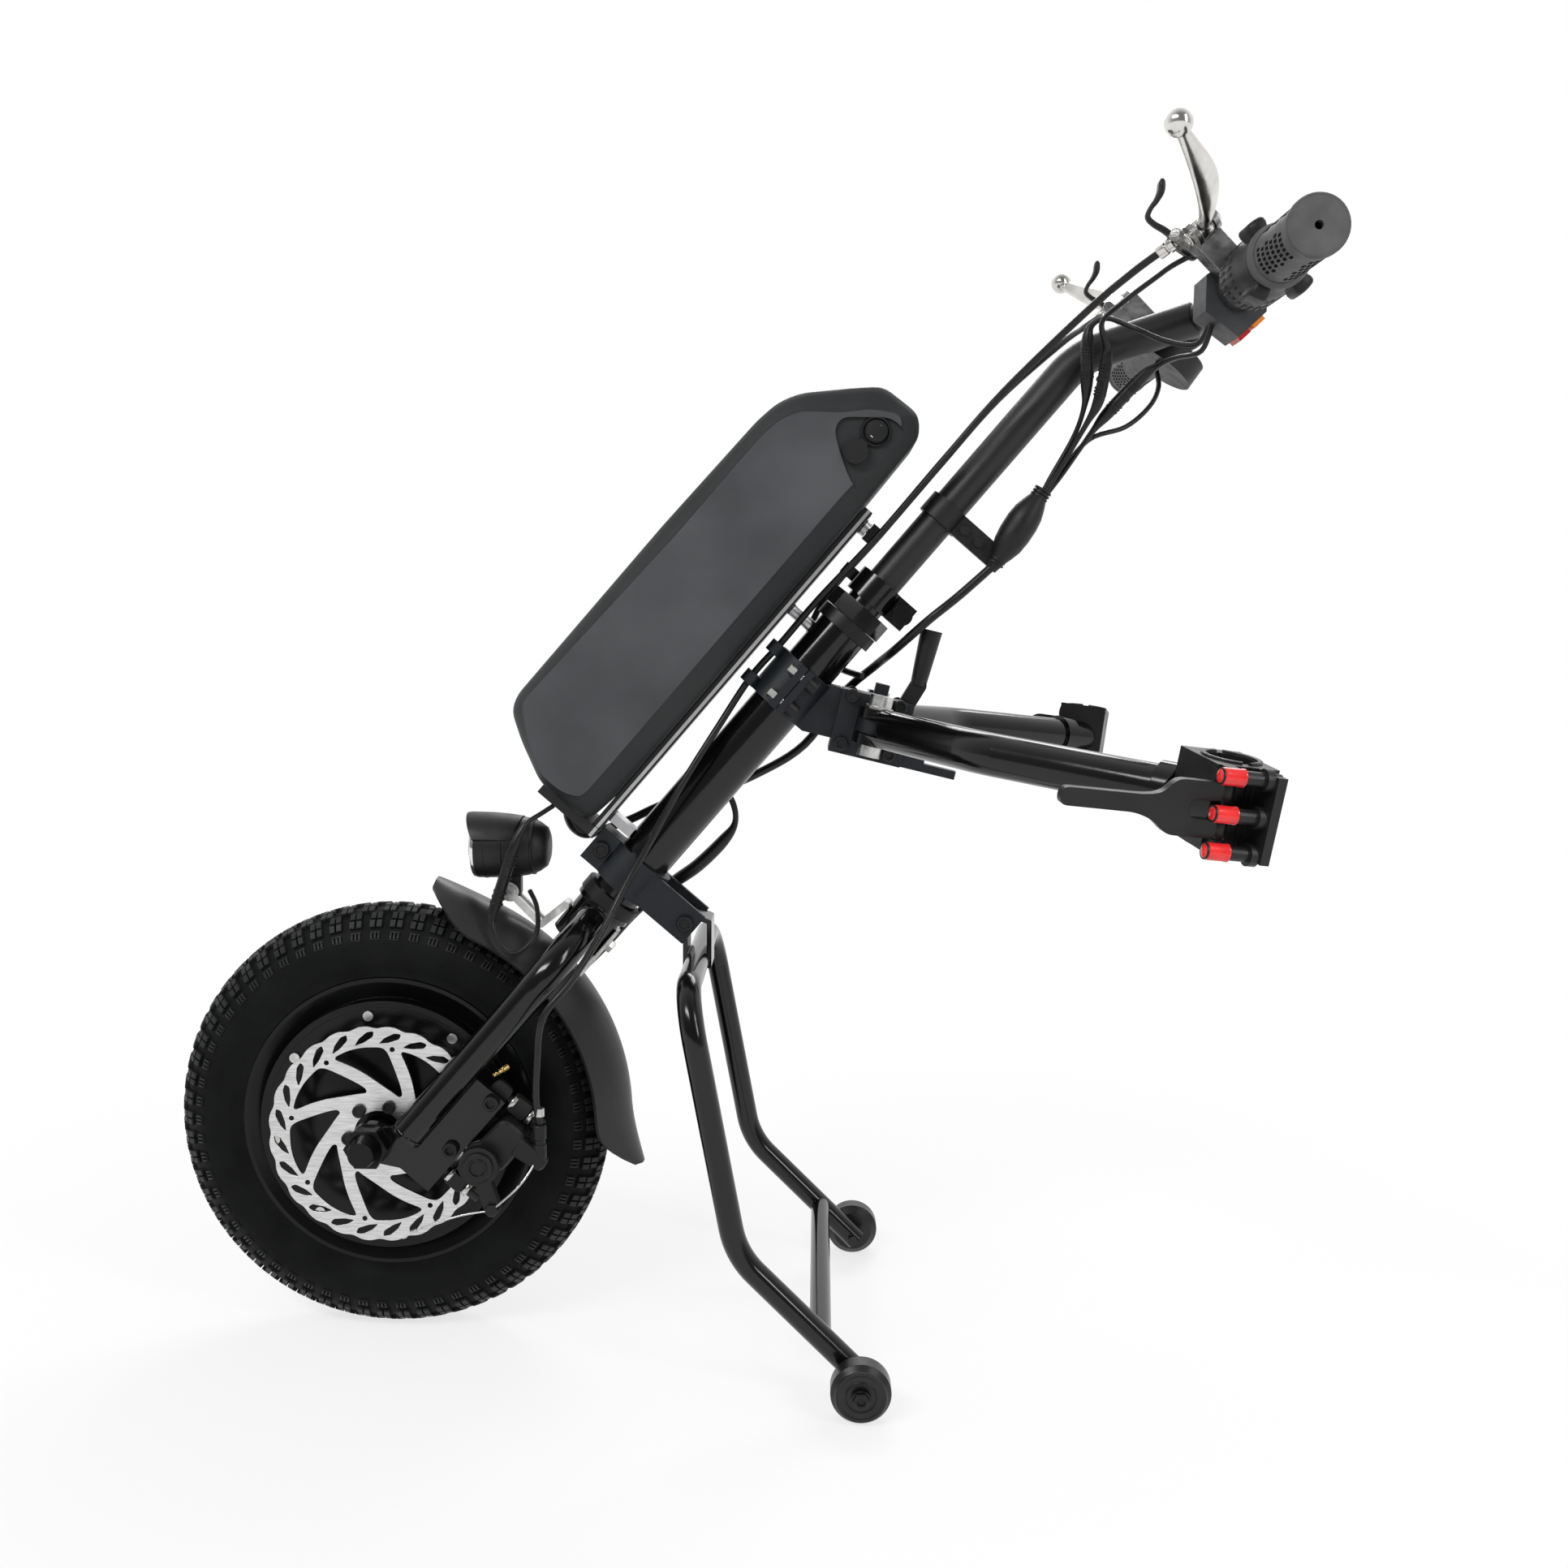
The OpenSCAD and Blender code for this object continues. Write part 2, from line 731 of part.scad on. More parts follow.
// A cable along a route: rings of points joined by triangles
module cable(route, r) in_column() {
  p = smooth([for (q = route) [q.x, q.y, along(q.z), len(q) > 3 ? q[3] : r]]);
  n = len(p);
  u = acrosses(p, 0, [0.31, 0.93, 0.2]);
  m = cable_sides;
  points = [for (i = [0 : n - 1], k = [0 : m - 1]) let (v = cross(heading(p, i), u[i]))
    place(p[i]) + p[i][3] * (cos(k * 360 / m) * u[i] + sin(k * 360 / m) * v)];
  sides = [for (i = [0 : n - 2], k = [0 : m - 1], h = [0, 1]) let (a = i * m + k, b = i * m + (k + 1) % m)
    h == 0 ? [a, a + m, b] : [b, a + m, b + m]];
  ends = [for (k = [1 : m - 2], h = [0, 1]) let (c = (n - 1) * m)
    h == 0 ? [0, k, k + 1] : [c, c + k + 1, c + k]];
  polyhedron(points = points, faces = concat(sides, ends));
}

// Wheel

tyre_r = tyre_od / 2 - tyre_w / 2;
tread_r = tyre_w / 2 - tread_depth;

module tyre_profile() difference() {
  bead = rim_w / 2 - flange_t;
  union() {
    translate([tyre_r, 0]) circle(d = tyre_w);
    translate([bead_r, -bead]) square([tyre_r - bead_r, 2 * bead]);
  }
  translate([tyre_r, 0]) circle(d = tyre_w - 2 * tyre_wall);
  translate([bead_r - over, tyre_wall - bead]) square([tyre_r - bead_r + over, 2 * (bead - tyre_wall)]);
  for (side = [-1, 1]) translate([tyre_r, 0]) rotate(side * tread_turn)
    translate([tread_r, -tread_groove / 2]) square([over, tread_groove]);
}

// Two rows of tread blocks on each side, each row half a block on from the next
module tyre() color("dimgray") at_wheel() difference() {
  rotate_extrude($fn = 96) tyre_profile();
  for (side = [0, 1], row = [0, 1])
    ring_of(tread_blocks, tyre_r, (side + row) % 2 * 180 / tread_blocks) mirror([0, 0, side])
      rotate([0, -tread_turn * (row + 1 / 2), 0]) translate([tread_r, -tread_slot_w / 2, -tread_slot_len / 2])
        cube([over, tread_slot_w, tread_slot_len]);
}

module rim() color("black") at_wheel() {
  half = rim_w / 2;
  seat = bead_r - run_fit;
  cover_r = cover_od / 2 + run_fit;
  inner = cover_od / 2 - cover_land - magnet_t;
  one = [[inner, motor_half], [cover_r, motor_half], [cover_r, motor_half + cover_t],
         [cover_r + rim_step_t, motor_half + cover_t], [cover_r + rim_step_t, half - rim_wall_drop],
         [rim_od / 2 - flange_t, half], [rim_od / 2, half], [rim_od / 2, half - flange_t],
         [seat, half - flange_t]];
  other = [for (k = [len(one) - 1 : -1 : 0]) [one[k].x, -one[k].y]];
  difference() {
    rotate_extrude($fn = 96) polygon(concat(one, other));
    rotate(valve_turn) translate([seat - valve_len, 0, 0]) rotate([0, 90, 0])
      cylinder(d = valve_d, h = valve_len + over);
  }
  rotate(valve_turn) translate([inner + face_gap, 0, 0]) rotate([0, 90, 0])
    cylinder(d = valve_d - 2 * run_fit, h = seat - inner - 2 * face_gap);
}

module cover(boss_end) difference() {
  edge = motor_half + cover_t;
  dome = edge + cover_dome_h;
  rotate_extrude($fn = 96) polygon([
    [bearing_r + run_fit, motor_half], [cover_od / 2, motor_half], [cover_od / 2, edge],
    [cover_od / 2 - 2 * cover_land, edge], [boss_root_r, dome], [boss_r, dome],
    [boss_r, boss_end], [bearing_r + run_fit, boss_end]]);
  ring_of(cover_screws, cover_pcd / 2, cover_turn) translate([0, 0, motor_half - over])
    cylinder(d = screw_d, h = cover_t + 2 * over);
}

module motor_covers() color("#1c1c1e") at_wheel() {
  left_boss = disc_y - disc_t / 2;
  difference() {
    cover(left_boss);
    ring_of(disc_bolts, disc_pcd / 2, cover_turn) translate([0, 0, left_boss - 2 * over])
      cylinder(d = disc_bolt_d, h = 3 * over);
  }
  mirror([0, 0, 1]) cover(motor_half + cover_t + cover_dome_h + right_boss_h);
}

module cover_screw() {
  translate([0, 0, motor_half + face_gap]) cylinder(d = screw_d - 2 * run_fit, h = cover_t);
  translate([0, 0, motor_half + cover_t]) cylinder(d = screw_head_d, h = screw_head_h);
}

module wheel_screws() color("silver") at_wheel() {
  for (m = [0, 1]) mirror([0, 0, m]) ring_of(cover_screws, cover_pcd / 2, cover_turn) cover_screw();
  face = disc_y + disc_t / 2;
  ring_of(disc_bolts, disc_pcd / 2, cover_turn) {
    translate([0, 0, face]) cylinder(d = disc_bolt_head_d, h = disc_bolt_head_h);
    translate([0, 0, face - over]) cylinder(d = disc_bolt_d - 2 * run_fit, h = over);
  }
}

module disc_outline() {
  r = disc_od / 2;
  difference() {
    circle(r = r, $fn = 96);
    ring_of(disc_slots, r + disc_wave_r - disc_wave_h) circle(r = disc_wave_r);
    circle(r = r - disc_band_w, $fn = 96);
    ring_of(disc_slots, r - disc_band_w / 2, 180 / disc_slots) rotate(disc_slot_turn)
      square([disc_slot_len, disc_slot_w], center = true);
  }
}

module disc_spider() {
  hub = disc_pcd / 2 + disc_hub_w / 2;
  band = disc_od / 2 - disc_band_w;
  circle(r = hub);
  mid = disc_arm_mid_share * band * [cos(disc_arm_mid_turn), -sin(disc_arm_mid_turn)];
  root = (hub - disc_arm_w / 2) * [cos(disc_arm_turn), -sin(disc_arm_turn)];
  for (k = [0 : disc_arms - 1]) rotate(disc_arm_start + k * 360 / disc_arms) {
    link(root, mid, disc_arm_w);
    link(mid, [band, 0], disc_arm_w);
  }
}

module brake_disc() color("silver") at_wheel() translate([0, 0, disc_y - disc_t / 2])
  linear_extrude(disc_t) difference() {
    union() {
      disc_outline();
      disc_spider();
    }
    circle(r = bearing_r + run_fit);
    ring_of(disc_bolts, disc_pcd / 2, cover_turn) circle(d = disc_bolt_d);
  }

// Fork

module steerer() color("black") in_column() difference() {
  union() {
    translate([0, 0, crown_s]) cylinder(d = steerer_od, h = steerer_top - crown_s);
    translate([0, 0, crown_s]) cylinder(d = crown_d, h = crown_h);
    translate([0, 0, race_s]) cylinder(d = race_d, h = race_h);
  }
  translate([0, 0, crown_s - over])
    cylinder(d = stem_od + 2 * run_fit, h = steerer_top - crown_s + 2 * over);
}

module fork_leg() {
  bend = crown_s + crown_h / 2 - leg_bend_r * sin(leg_bend_turn);
  centre_y = leg_y - leg_bend_r;
  difference() {
    union() {
      translate([0, leg_y, leg_foot]) cylinder(d = leg_d, h = bend - leg_foot);
      translate([0, centre_y, bend]) rotate([0, 90, 0]) rotate(90)
        bend(leg_bend_r, leg_bend_turn, leg_d);
      translate([0, centre_y + leg_bend_r * cos(leg_bend_turn), bend + leg_bend_r * sin(leg_bend_turn)])
        rotate([leg_bend_turn, 0, 0]) cylinder(d = leg_d, h = leg_stub);
    }
    translate([0, 0, crown_s - 2 * over]) cylinder(d = crown_d + 2 * run_fit, h = crown_h + 4 * over);
    translate([0, 0, race_s - run_fit]) cylinder(d = race_d + over, h = crown_h);
  }
}

module fork_legs() color("black") in_column() both_sides() fork_leg();

module dropout_outline() difference() {
  union() {
    translate([-fork_offset, 0]) circle(r = dropout_r);
    polygon([[-fork_offset - dropout_r, 0], [-leg_d / 2, leg_foot], [leg_d / 2, leg_foot],
             [leg_d / 2, 0], [-fork_offset, -dropout_r]]);
  }
  translate([-fork_offset, 0]) circle(d = axle_d + 2 * run_fit);
}

module dropouts() color("black") in_column() {
  in = dropout_gap / 2;
  both_sides() slab_y(in, in + dropout_t) dropout_outline();
  slab_y(-in - dropout_t, -in) {
    translate([leg_d / 2 + run_fit, leg_foot]) square([caliper_tab_w, caliper_tab_len]);
    translate([leg_d / 2 - over, 0]) square([caliper_tab_w + over, leg_foot]);
  }
}

module height_clamp() color("black") in_column() {
  difference() {
    translate([0, 0, nut_s]) cylinder(d = nut_ring_d, h = nut_ring_h, $fn = 8);
    translate([0, 0, nut_s - over]) cylinder(d = steerer_od, h = nut_ring_h + 2 * over);
  }
  ear_y = collar_slit / 2 + collar_ear_w;
  difference() {
    union() {
      translate([0, 0, collar_s]) cylinder(d = collar_d, h = collar_h);
      block([0, -ear_y, collar_s], [collar_d / 2 + collar_ear, ear_y, collar_s + collar_h]);
    }
    translate([0, 0, collar_s - over]) cylinder(d = steerer_od, h = collar_h + 2 * over);
    block([0, -collar_slit / 2, collar_s - over],
          [collar_d + collar_ear, collar_slit / 2, collar_s + collar_h + over]);
    translate([skewer_n, 0, collar_s + collar_h / 2]) bar_y(skewer_d + 2 * run_fit, -collar_d, collar_d);
  }
  translate([skewer_n, 0, collar_s + collar_h / 2]) {
    bar_y(skewer_d, -ear_y - knob_t, quick_y - quick_hub_d / 2 - face_gap);
    bar_y(knob_d, -ear_y - knob_gap, -ear_y - face_gap);
  }
}

module quick_lever() color("black") in_column()
  translate([skewer_n, 0, collar_s + collar_h / 2 - quick_w / 2]) linear_extrude(quick_w) {
    link([0, quick_y], [-quick_len, quick_y - quick_t / 2], quick_t);
    translate([0, quick_y]) circle(d = quick_hub_d);
  }

module guard_profile() {
  crown = tyre_od / 2 + guard_gap;
  translate([crown - guard_w / 2, 0]) intersection() {
    difference() {
      circle(d = guard_w);
      circle(d = guard_w - 2 * guard_t);
    }
    translate([guard_w / 2 - guard_side_drop, -guard_w]) square([guard_w, 2 * guard_w]);
  }
}

module fender() color("#2b2b2d") {
  crown = tyre_od / 2 + guard_gap;
  at_wheel() rotate(guard_start) rotate_extrude(angle = guard_turn, $fn = 96) guard_profile();
  in_column() {
    translate([0, 0, crown - guard_t]) cylinder(d = guard_post_d, h = crown_s - crown + guard_t);
    n = crown_d / 2 + run_fit;
    block([n, -stay_w / 2, crown - 2 * guard_t], [n + stay_t, stay_w / 2, crown_s + stay_up]);
    translate([n + stay_t, 0, crown_s + stay_up / 2]) rotate([0, 90, 0])
      cylinder(d = stay_nut_d, h = stay_nut_h, $fn = 6);
  }
}

// The lamp turns on a bolt at the end of a pair of rods
lamp_s = crown_s + lamp_up;
rod_low_s = crown_s + rod_low_up;
rod_tab_s = crown_s + rod_tab_up;
lamp_x = axis_x + lamp_n * cos(column_tilt) + lamp_s * sin(column_tilt);
lamp_z = axis_z + lamp_s * cos(column_tilt) - lamp_n * sin(column_tilt);
lamp_pivot_x = lamp_x + lamp_foot_len / 2;
lamp_pivot_z = lamp_z - lamp_pivot_drop;
rod_low_x = axis_x + rod_low_n * cos(column_tilt) + rod_low_s * sin(column_tilt);
rod_low_z = axis_z + rod_low_s * cos(column_tilt) - rod_low_n * sin(column_tilt);
rod_tab_n = -crown_d / 2 - rod_d / 2 - run_fit;
rod_tab_x = axis_x + rod_tab_n * cos(column_tilt) + rod_tab_s * sin(column_tilt);
rod_tab_z = axis_z + rod_tab_s * cos(column_tilt) - rod_tab_n * sin(column_tilt);

module lamp_bracket() color("silver") {
  eye_in = lamp_foot_w / 2 + face_gap;
  eye_out = eye_in + lamp_eye_t;
  pivot = [lamp_pivot_x, lamp_pivot_z];
  low = [rod_low_x, rod_low_z];
  tab = [rod_tab_x, rod_tab_z];
  both_sides() slab_y(eye_in, eye_out) difference() {
    union() {
      translate(pivot) circle(r = lamp_eye_r);
      link(pivot, low, rod_d);
      link(low, tab, rod_d);
    }
    translate(pivot) circle(d = lamp_pivot_d + 2 * run_fit);
  }
  slab_y(-eye_out, eye_out) translate(tab) circle(d = rod_d);
  translate([lamp_pivot_x, 0, lamp_pivot_z]) {
    bar_y(lamp_pivot_d, -eye_out, eye_out);
    both_sides() bar_y(lamp_nut_d, eye_out + run_fit, eye_out + lamp_eye_t);
  }
}

// The lamp's own frame looks forward along its Z, with X up
module in_lamp() translate([lamp_x, 0, lamp_z]) rotate([0, -90, 0]) children();

module headlight() color("#1b1b1d") difference() {
  r = lamp_d / 2;
  front = lamp_len - lamp_rear_len - lamp_len / 4;
  rear = front - lamp_len;
  union() {
    in_lamp() difference() {
      rotate_extrude() polygon([[0, rear], [lamp_rear_r, rear], [r - lamp_rim_t, rear + lamp_rear_len / 3],
        [r, rear + lamp_rear_len], [r, front], [0, front]]);
      translate([0, 0, front - lens_h]) cylinder(r = r - lamp_rim_t, h = lens_h + over);
    }
    in_lamp() rotate(-visor_turn / 2) rotate_extrude(angle = visor_turn)
      translate([r - visor_t / 2, front - visor_len + visor_out]) square([visor_t, visor_len]);
    slab_y(-lamp_foot_w / 2, lamp_foot_w / 2) {
      translate([lamp_pivot_x, lamp_pivot_z]) circle(d = lamp_foot_len);
      translate([lamp_pivot_x - lamp_foot_len / 2, lamp_pivot_z])
        square([lamp_foot_len, lamp_pivot_drop - r / 2]);
    }
  }
  translate([lamp_pivot_x, 0, lamp_pivot_z]) bar_y(lamp_pivot_d + 2 * run_fit, -lamp_d, lamp_d);
}

module headlight_lens() color("white") in_lamp() {
  r = lamp_d / 2 - lamp_rim_t - run_fit;
  front = lamp_len - lamp_rear_len - lamp_len / 4;
  translate([0, 0, front - lens_h + run_fit]) cylinder(r = r, h = lens_h);
  translate([0, 0, front + run_fit]) cylinder(r1 = r, r2 = r - lens_bulge, h = lens_bulge);
}

module axle_end() {
  in = dropout_gap / 2;
  out = in + dropout_t;
  translate([0, 0, motor_half]) difference() {
    cylinder(r = bearing_r, h = bearing_w);
    translate([0, 0, -over]) cylinder(d = axle_d, h = bearing_w + 2 * over);
  }
  translate([0, 0, motor_half + bearing_w]) pipe(2 * spacer_r, axle_d, in - motor_half - bearing_w);
  translate([0, 0, out]) pipe(2 * washer_r, axle_d, washer_t);
  translate([0, 0, out + washer_t]) difference() {
    union() {
      cylinder(d = nut_w / cos(30), h = nut_h, $fn = 6);
      translate([0, 0, nut_h]) cylinder(r1 = nut_dome_r, r2 = nut_dome_r - nut_dome_h / 4, h = nut_dome_h);
    }
    translate([0, 0, -over]) cylinder(d = axle_d, h = nut_h + axle_tip + over);
  }
}

module axle() color("#202022") at_wheel() {
  half = dropout_gap / 2 + dropout_t + washer_t + nut_h;
  translate([0, 0, -half]) cylinder(d = axle_d, h = 2 * half);
  axle_end();
  mirror([0, 0, 1]) axle_end();
}

module stator() color("#7a4a22") at_wheel() difference() {
  r = cover_od / 2 - cover_land - magnet_t - stator_gap;
  translate([0, 0, face_gap - motor_half]) cylinder(r = r, h = 2 * (motor_half - face_gap));
  translate([0, 0, -motor_half - over]) cylinder(d = axle_d, h = 2 * (motor_half + over));
  ring_of(stator_holes, r / 2) translate([0, 0, -motor_half - over])
    cylinder(d = stator_hole_share * r, h = 2 * (motor_half + over));
}

module caliper_body() difference() {
  far = caliper_n + caliper_depth;
  union() {
    block([caliper_n, -caliper_out_y, caliper_s], [far, -caliper_in_y, caliper_s + caliper_len]);
    for (s = [caliper_s - ear_len, caliper_s + caliper_len])
      block([caliper_n, -dropout_gap / 2, s],
            [caliper_n + 2 * ear_w, -dropout_gap / 2 + ear_w, s + ear_len]);
    block([far - over, -barrel_y - barrel_d / 2, barrel_lug_s],
          [far + barrel_lug_len, -barrel_y + barrel_d / 2, barrel_lug_s + barrel_d]);
  }
  slot_depth = disc_od / 2 - fork_offset - caliper_n;
  block([caliper_n - over, -disc_y - disc_slot / 2, caliper_s - over],
        [caliper_n + slot_depth, -disc_y + disc_slot / 2, caliper_s + caliper_len + over]);
}

module caliper() color("#18181a") {
  difference() {
    in_column() caliper_parts();
    translate([wheel_x + barrel_x, -barrel_y, wheel_z + barrel_z]) cylinder(d = barrel_d, h = barrel_len);
  }
  translate([wheel_x + barrel_x, -barrel_y, wheel_z + barrel_z])
    pipe(barrel_d - 2 * run_fit, barrel_bore, barrel_len);
}

module caliper_parts() {
  mid_s = caliper_s + caliper_len / 2;
  plate_y = -dropout_gap / 2 + face_gap;
  tab_n = leg_d / 2 + caliper_tab_w;
  ear_mids = [caliper_s - ear_len / 2, caliper_s + caliper_len + ear_len / 2];
  difference() {
    caliper_body();
    for (s = ear_mids) translate([caliper_n - over, -dropout_gap / 2 + ear_w / 2, s]) rotate([0, 90, 0])
      cylinder(d = post_d, h = post_len + 2 * over);
  }
  pad_y = (disc_slot / 2 + disc_t / 2 + pad_gap) / 2;
  for (m = [-1, 1]) translate([caliper_n + pad_gap, -disc_y + m * pad_y, mid_s])
    cube([pad_depth, disc_slot / 2 - disc_t / 2 - pad_gap, pad_len], center = true);
  slab_y(plate_y, plate_y + bracket_t) translate([tab_n - bracket_w, bracket_low_s])
    square([bracket_w, bracket_len]);
  for (s = ear_mids) translate([tab_n + face_gap, -dropout_gap / 2 + ear_w / 2, s]) rotate([0, 90, 0]) {
    cylinder(d = post_d - 2 * run_fit, h = post_len);
    translate([0, 0, caliper_n - tab_n + 2 * ear_w]) pipe(2 * post_washer_r, post_d, post_washer_t);
  }
  tab_y = -dropout_gap / 2 - dropout_t;
  for (s = [bracket_low_s + 2 * bracket_w, bracket_low_s + bracket_len - bracket_w])
    translate([tab_n - bracket_w / 2, 0, s]) bar_y(caliper_bolt_d, tab_y - caliper_bolt_h, tab_y - run_fit);
  translate([caliper_pivot_n, 0, caliper_pivot_s])
    bar_y(caliper_pivot_d, -caliper_out_y - caliper_arm_t - 2 * face_gap, -caliper_out_y);
}

module caliper_arm() color("#18181a") in_column() translate([caliper_pivot_n, 0, caliper_pivot_s])
  slab_y(-caliper_out_y - caliper_arm_t - face_gap, -caliper_out_y - face_gap) difference() {
    union() {
      circle(r = caliper_arm_r);
      link([0, 0], [caliper_arm_n, caliper_arm_s], caliper_arm_w);
    }
    circle(d = caliper_pivot_d + 2 * run_fit);
  }

// Head tube and what is clamped to it

module head_tube() color("black") in_column() translate([0, 0, head_s]) pipe(head_od, head_bore, head_len);

module headset_cup() difference() {
  union() {
    translate([0, 0, -cup_h]) cylinder(d = cup_d, h = cup_h);
    cylinder(d = head_bore - 2 * run_fit, h = cup_insert);
  }
  translate([0, 0, -cup_h - over])
    cylinder(d = steerer_od + 2 * run_fit, h = cup_h + cup_insert + 2 * over);
}

module headset_cups() color("#101010") in_column() {
  translate([0, 0, head_s]) headset_cup();
  translate([0, 0, head_top]) mirror([0, 0, 1]) headset_cup();
}

module stand_bracket() color("#1d2329") in_column() difference() {
  r = head_od / 2 + stand_collar_t;
  top = stand_collar_s + stand_collar_h;
  union() {
    translate([0, 0, stand_collar_s]) cylinder(r = r, h = stand_collar_h);
    block([-r - stand_lug_len + stand_collar_t, -stand_lug_w / 2, stand_collar_s],
          [0, stand_lug_w / 2, top]);
    both_sides() block([0, stand_plate_y, stand_pivot_s - stand_plate_h / 2],
      [stand_pivot_n + stand_hub_d / 2, stand_plate_y + stand_plate_t, stand_pivot_s + stand_plate_h / 2]);
  }
  translate([0, 0, stand_collar_s - over])
    cylinder(d = head_od + 2 * run_fit, h = stand_collar_h + 2 * over);
  translate([stand_pivot_n, 0, stand_pivot_s]) bar_y(stand_pivot_d + 2 * run_fit, -head_od, head_od);
}

module hitch_half() {
  r = head_od / 2 + run_fit;
  y = head_od / 2 + hitch_flange_out;
  difference() {
    union() {
      intersection() {
        cylinder(r = r + hitch_ring_t, h = hitch_clamp_h);
        block([face_gap, -y, 0], [y, y, hitch_clamp_h]);
      }
      block([face_gap, -y, 0], [hitch_flange_t, y, hitch_clamp_h]);
    }
    translate([0, 0, -over]) cylinder(r = r, h = hitch_clamp_h + 2 * over);
    hitch_clamp_holes();
  }
}

module hitch_clamp_holes() for (side = [-1, 1], up = [-1, 1])
  translate([-over, side * (head_od / 2 + hitch_flange_out / 2 + hitch_ring_t / 2),
             hitch_clamp_h / 2 + up * hitch_bolt_pitch / 2])
    rotate([0, 90, 0]) cylinder(d = hitch_bolt_d + 2 * run_fit, h = hitch_flange_t + 2 * over);

module hitch_body() difference() {
  w = hitch_block_w / 2;
  union() {
    block([-hitch_back, -w, -hitch_low], [hitch_front, w, hitch_top]);
    both_sides() {
      translate([0, arm_y, -tongue_t / 2]) cylinder(r = tongue_r, h = tongue_t);
      block([-tongue_r, 0, -tongue_t / 2], [tongue_r, arm_y, tongue_t / 2]);
    }
  }
  both_sides() translate([0, arm_y, -tongue_t]) cylinder(d = arm_bolt_d + 2 * run_fit, h = 2 * tongue_t);
  slot = lock_t / 2 + face_gap;
  block([hitch_front - lock_slot_len, -slot, lock_z - lock_w / 2 - face_gap],
        [hitch_front + over, slot, hitch_top + over]);
  translate([lock_x, 0, lock_z]) bar_y(lock_pin_d, -w + face_gap, w - face_gap);
}

module hitch_bracket() color("#23262a") {
  in_column() translate([0, 0, hitch_clamp_s]) {
    hitch_half();
    difference() {
      union() {
        mirror([1, 0, 0]) hitch_half();
        for (s = [0, hitch_clamp_h - clip_h]) translate([-clip_n, -clip_y, s])
          cylinder(d = clip_d, h = clip_h);
      }
      for (s = [0, hitch_clamp_h - clip_h]) translate([-clip_n, -clip_y, s - over])
        cylinder(d = clip_bore, h = clip_h + 2 * over);
    }
  }
  in_hitch() hitch_body();
  difference() {
    intersection() {
      in_hitch() block([-hitch_back - hitch_neck_len, -hitch_block_w / 2, -hitch_low + hitch_screw_head_d],
                       [-hitch_back, hitch_block_w / 2, hitch_top]);
      in_column() block([0, -hitch_block_w, hitch_clamp_s],
                        [2 * hitch_n, hitch_block_w, hitch_clamp_s + hitch_clamp_h + hitch_ring_t]);
    }
    in_column() translate([0, 0, hitch_clamp_s - over])
      cylinder(d = head_od + 2 * run_fit + hitch_ring_t, h = hitch_clamp_h + 3 * over);
  }
}

module hitch_plate_outline() difference() {
  translate([-hitch_back, -hitch_low]) square([hitch_back + hitch_front, hitch_low + hitch_top]);
  translate([-tongue_r - face_gap, -tongue_t / 2 - face_gap])
    square([2 * (tongue_r + face_gap), tongue_t + 2 * face_gap]);
  for (p = hitch_screw_places()) translate(p) circle(d = hitch_screw_d + 2 * run_fit);
}

function hitch_screw_places() = [for (z = [-1, 1], x = [-hitch_screw_x, hitch_screw_rear_x])
  [x, z * hitch_screw_z]];

module hitch_plates() color("#1f2226") in_hitch() {
  in = hitch_block_w / 2 + run_fit;
  both_sides() slab_y(in, in + hitch_plate_t) hitch_plate_outline();
  block([hitch_front + run_fit, -latch_block_w / 2, -hitch_low], [hitch_front + latch_block_len,
         latch_block_w / 2, latch_block_h - hitch_low]);
  block([hitch_front + latch_block_len + run_fit, -latch_block_w / 2, -hitch_low],
        [hitch_front + latch_block_len + latch_arm_len, 0, latch_arm_h - hitch_low]);
  difference() {
    block([-stop_len / 2, -stop_w / 2, hitch_top + run_fit],
          [stop_len / 2, stop_w / 2, hitch_top + stop_h]);
    translate([-stop_len, 0, hitch_top + stop_h / 2]) rotate([0, 90, 0])
      cylinder(d = wire_d + 2 * face_gap, h = 2 * stop_len);
  }
}

module arm_bolt() {
  top = arm_d / 2 - arm_flat + run_fit;
  translate([0, 0, -top - arm_bolt_head_h]) cylinder(d = arm_bolt_d, h = 2 * top + 2 * arm_bolt_head_h);
  translate([0, 0, top]) pipe(arm_bolt_washer_d, arm_bolt_d, washer_t);
  translate([0, 0, top + washer_t]) cylinder(d = arm_bolt_head_d, h = arm_bolt_head_h);
  translate([0, 0, -top - arm_bolt_head_h]) pipe(arm_bolt_head_d, arm_bolt_d, arm_bolt_head_h);
}

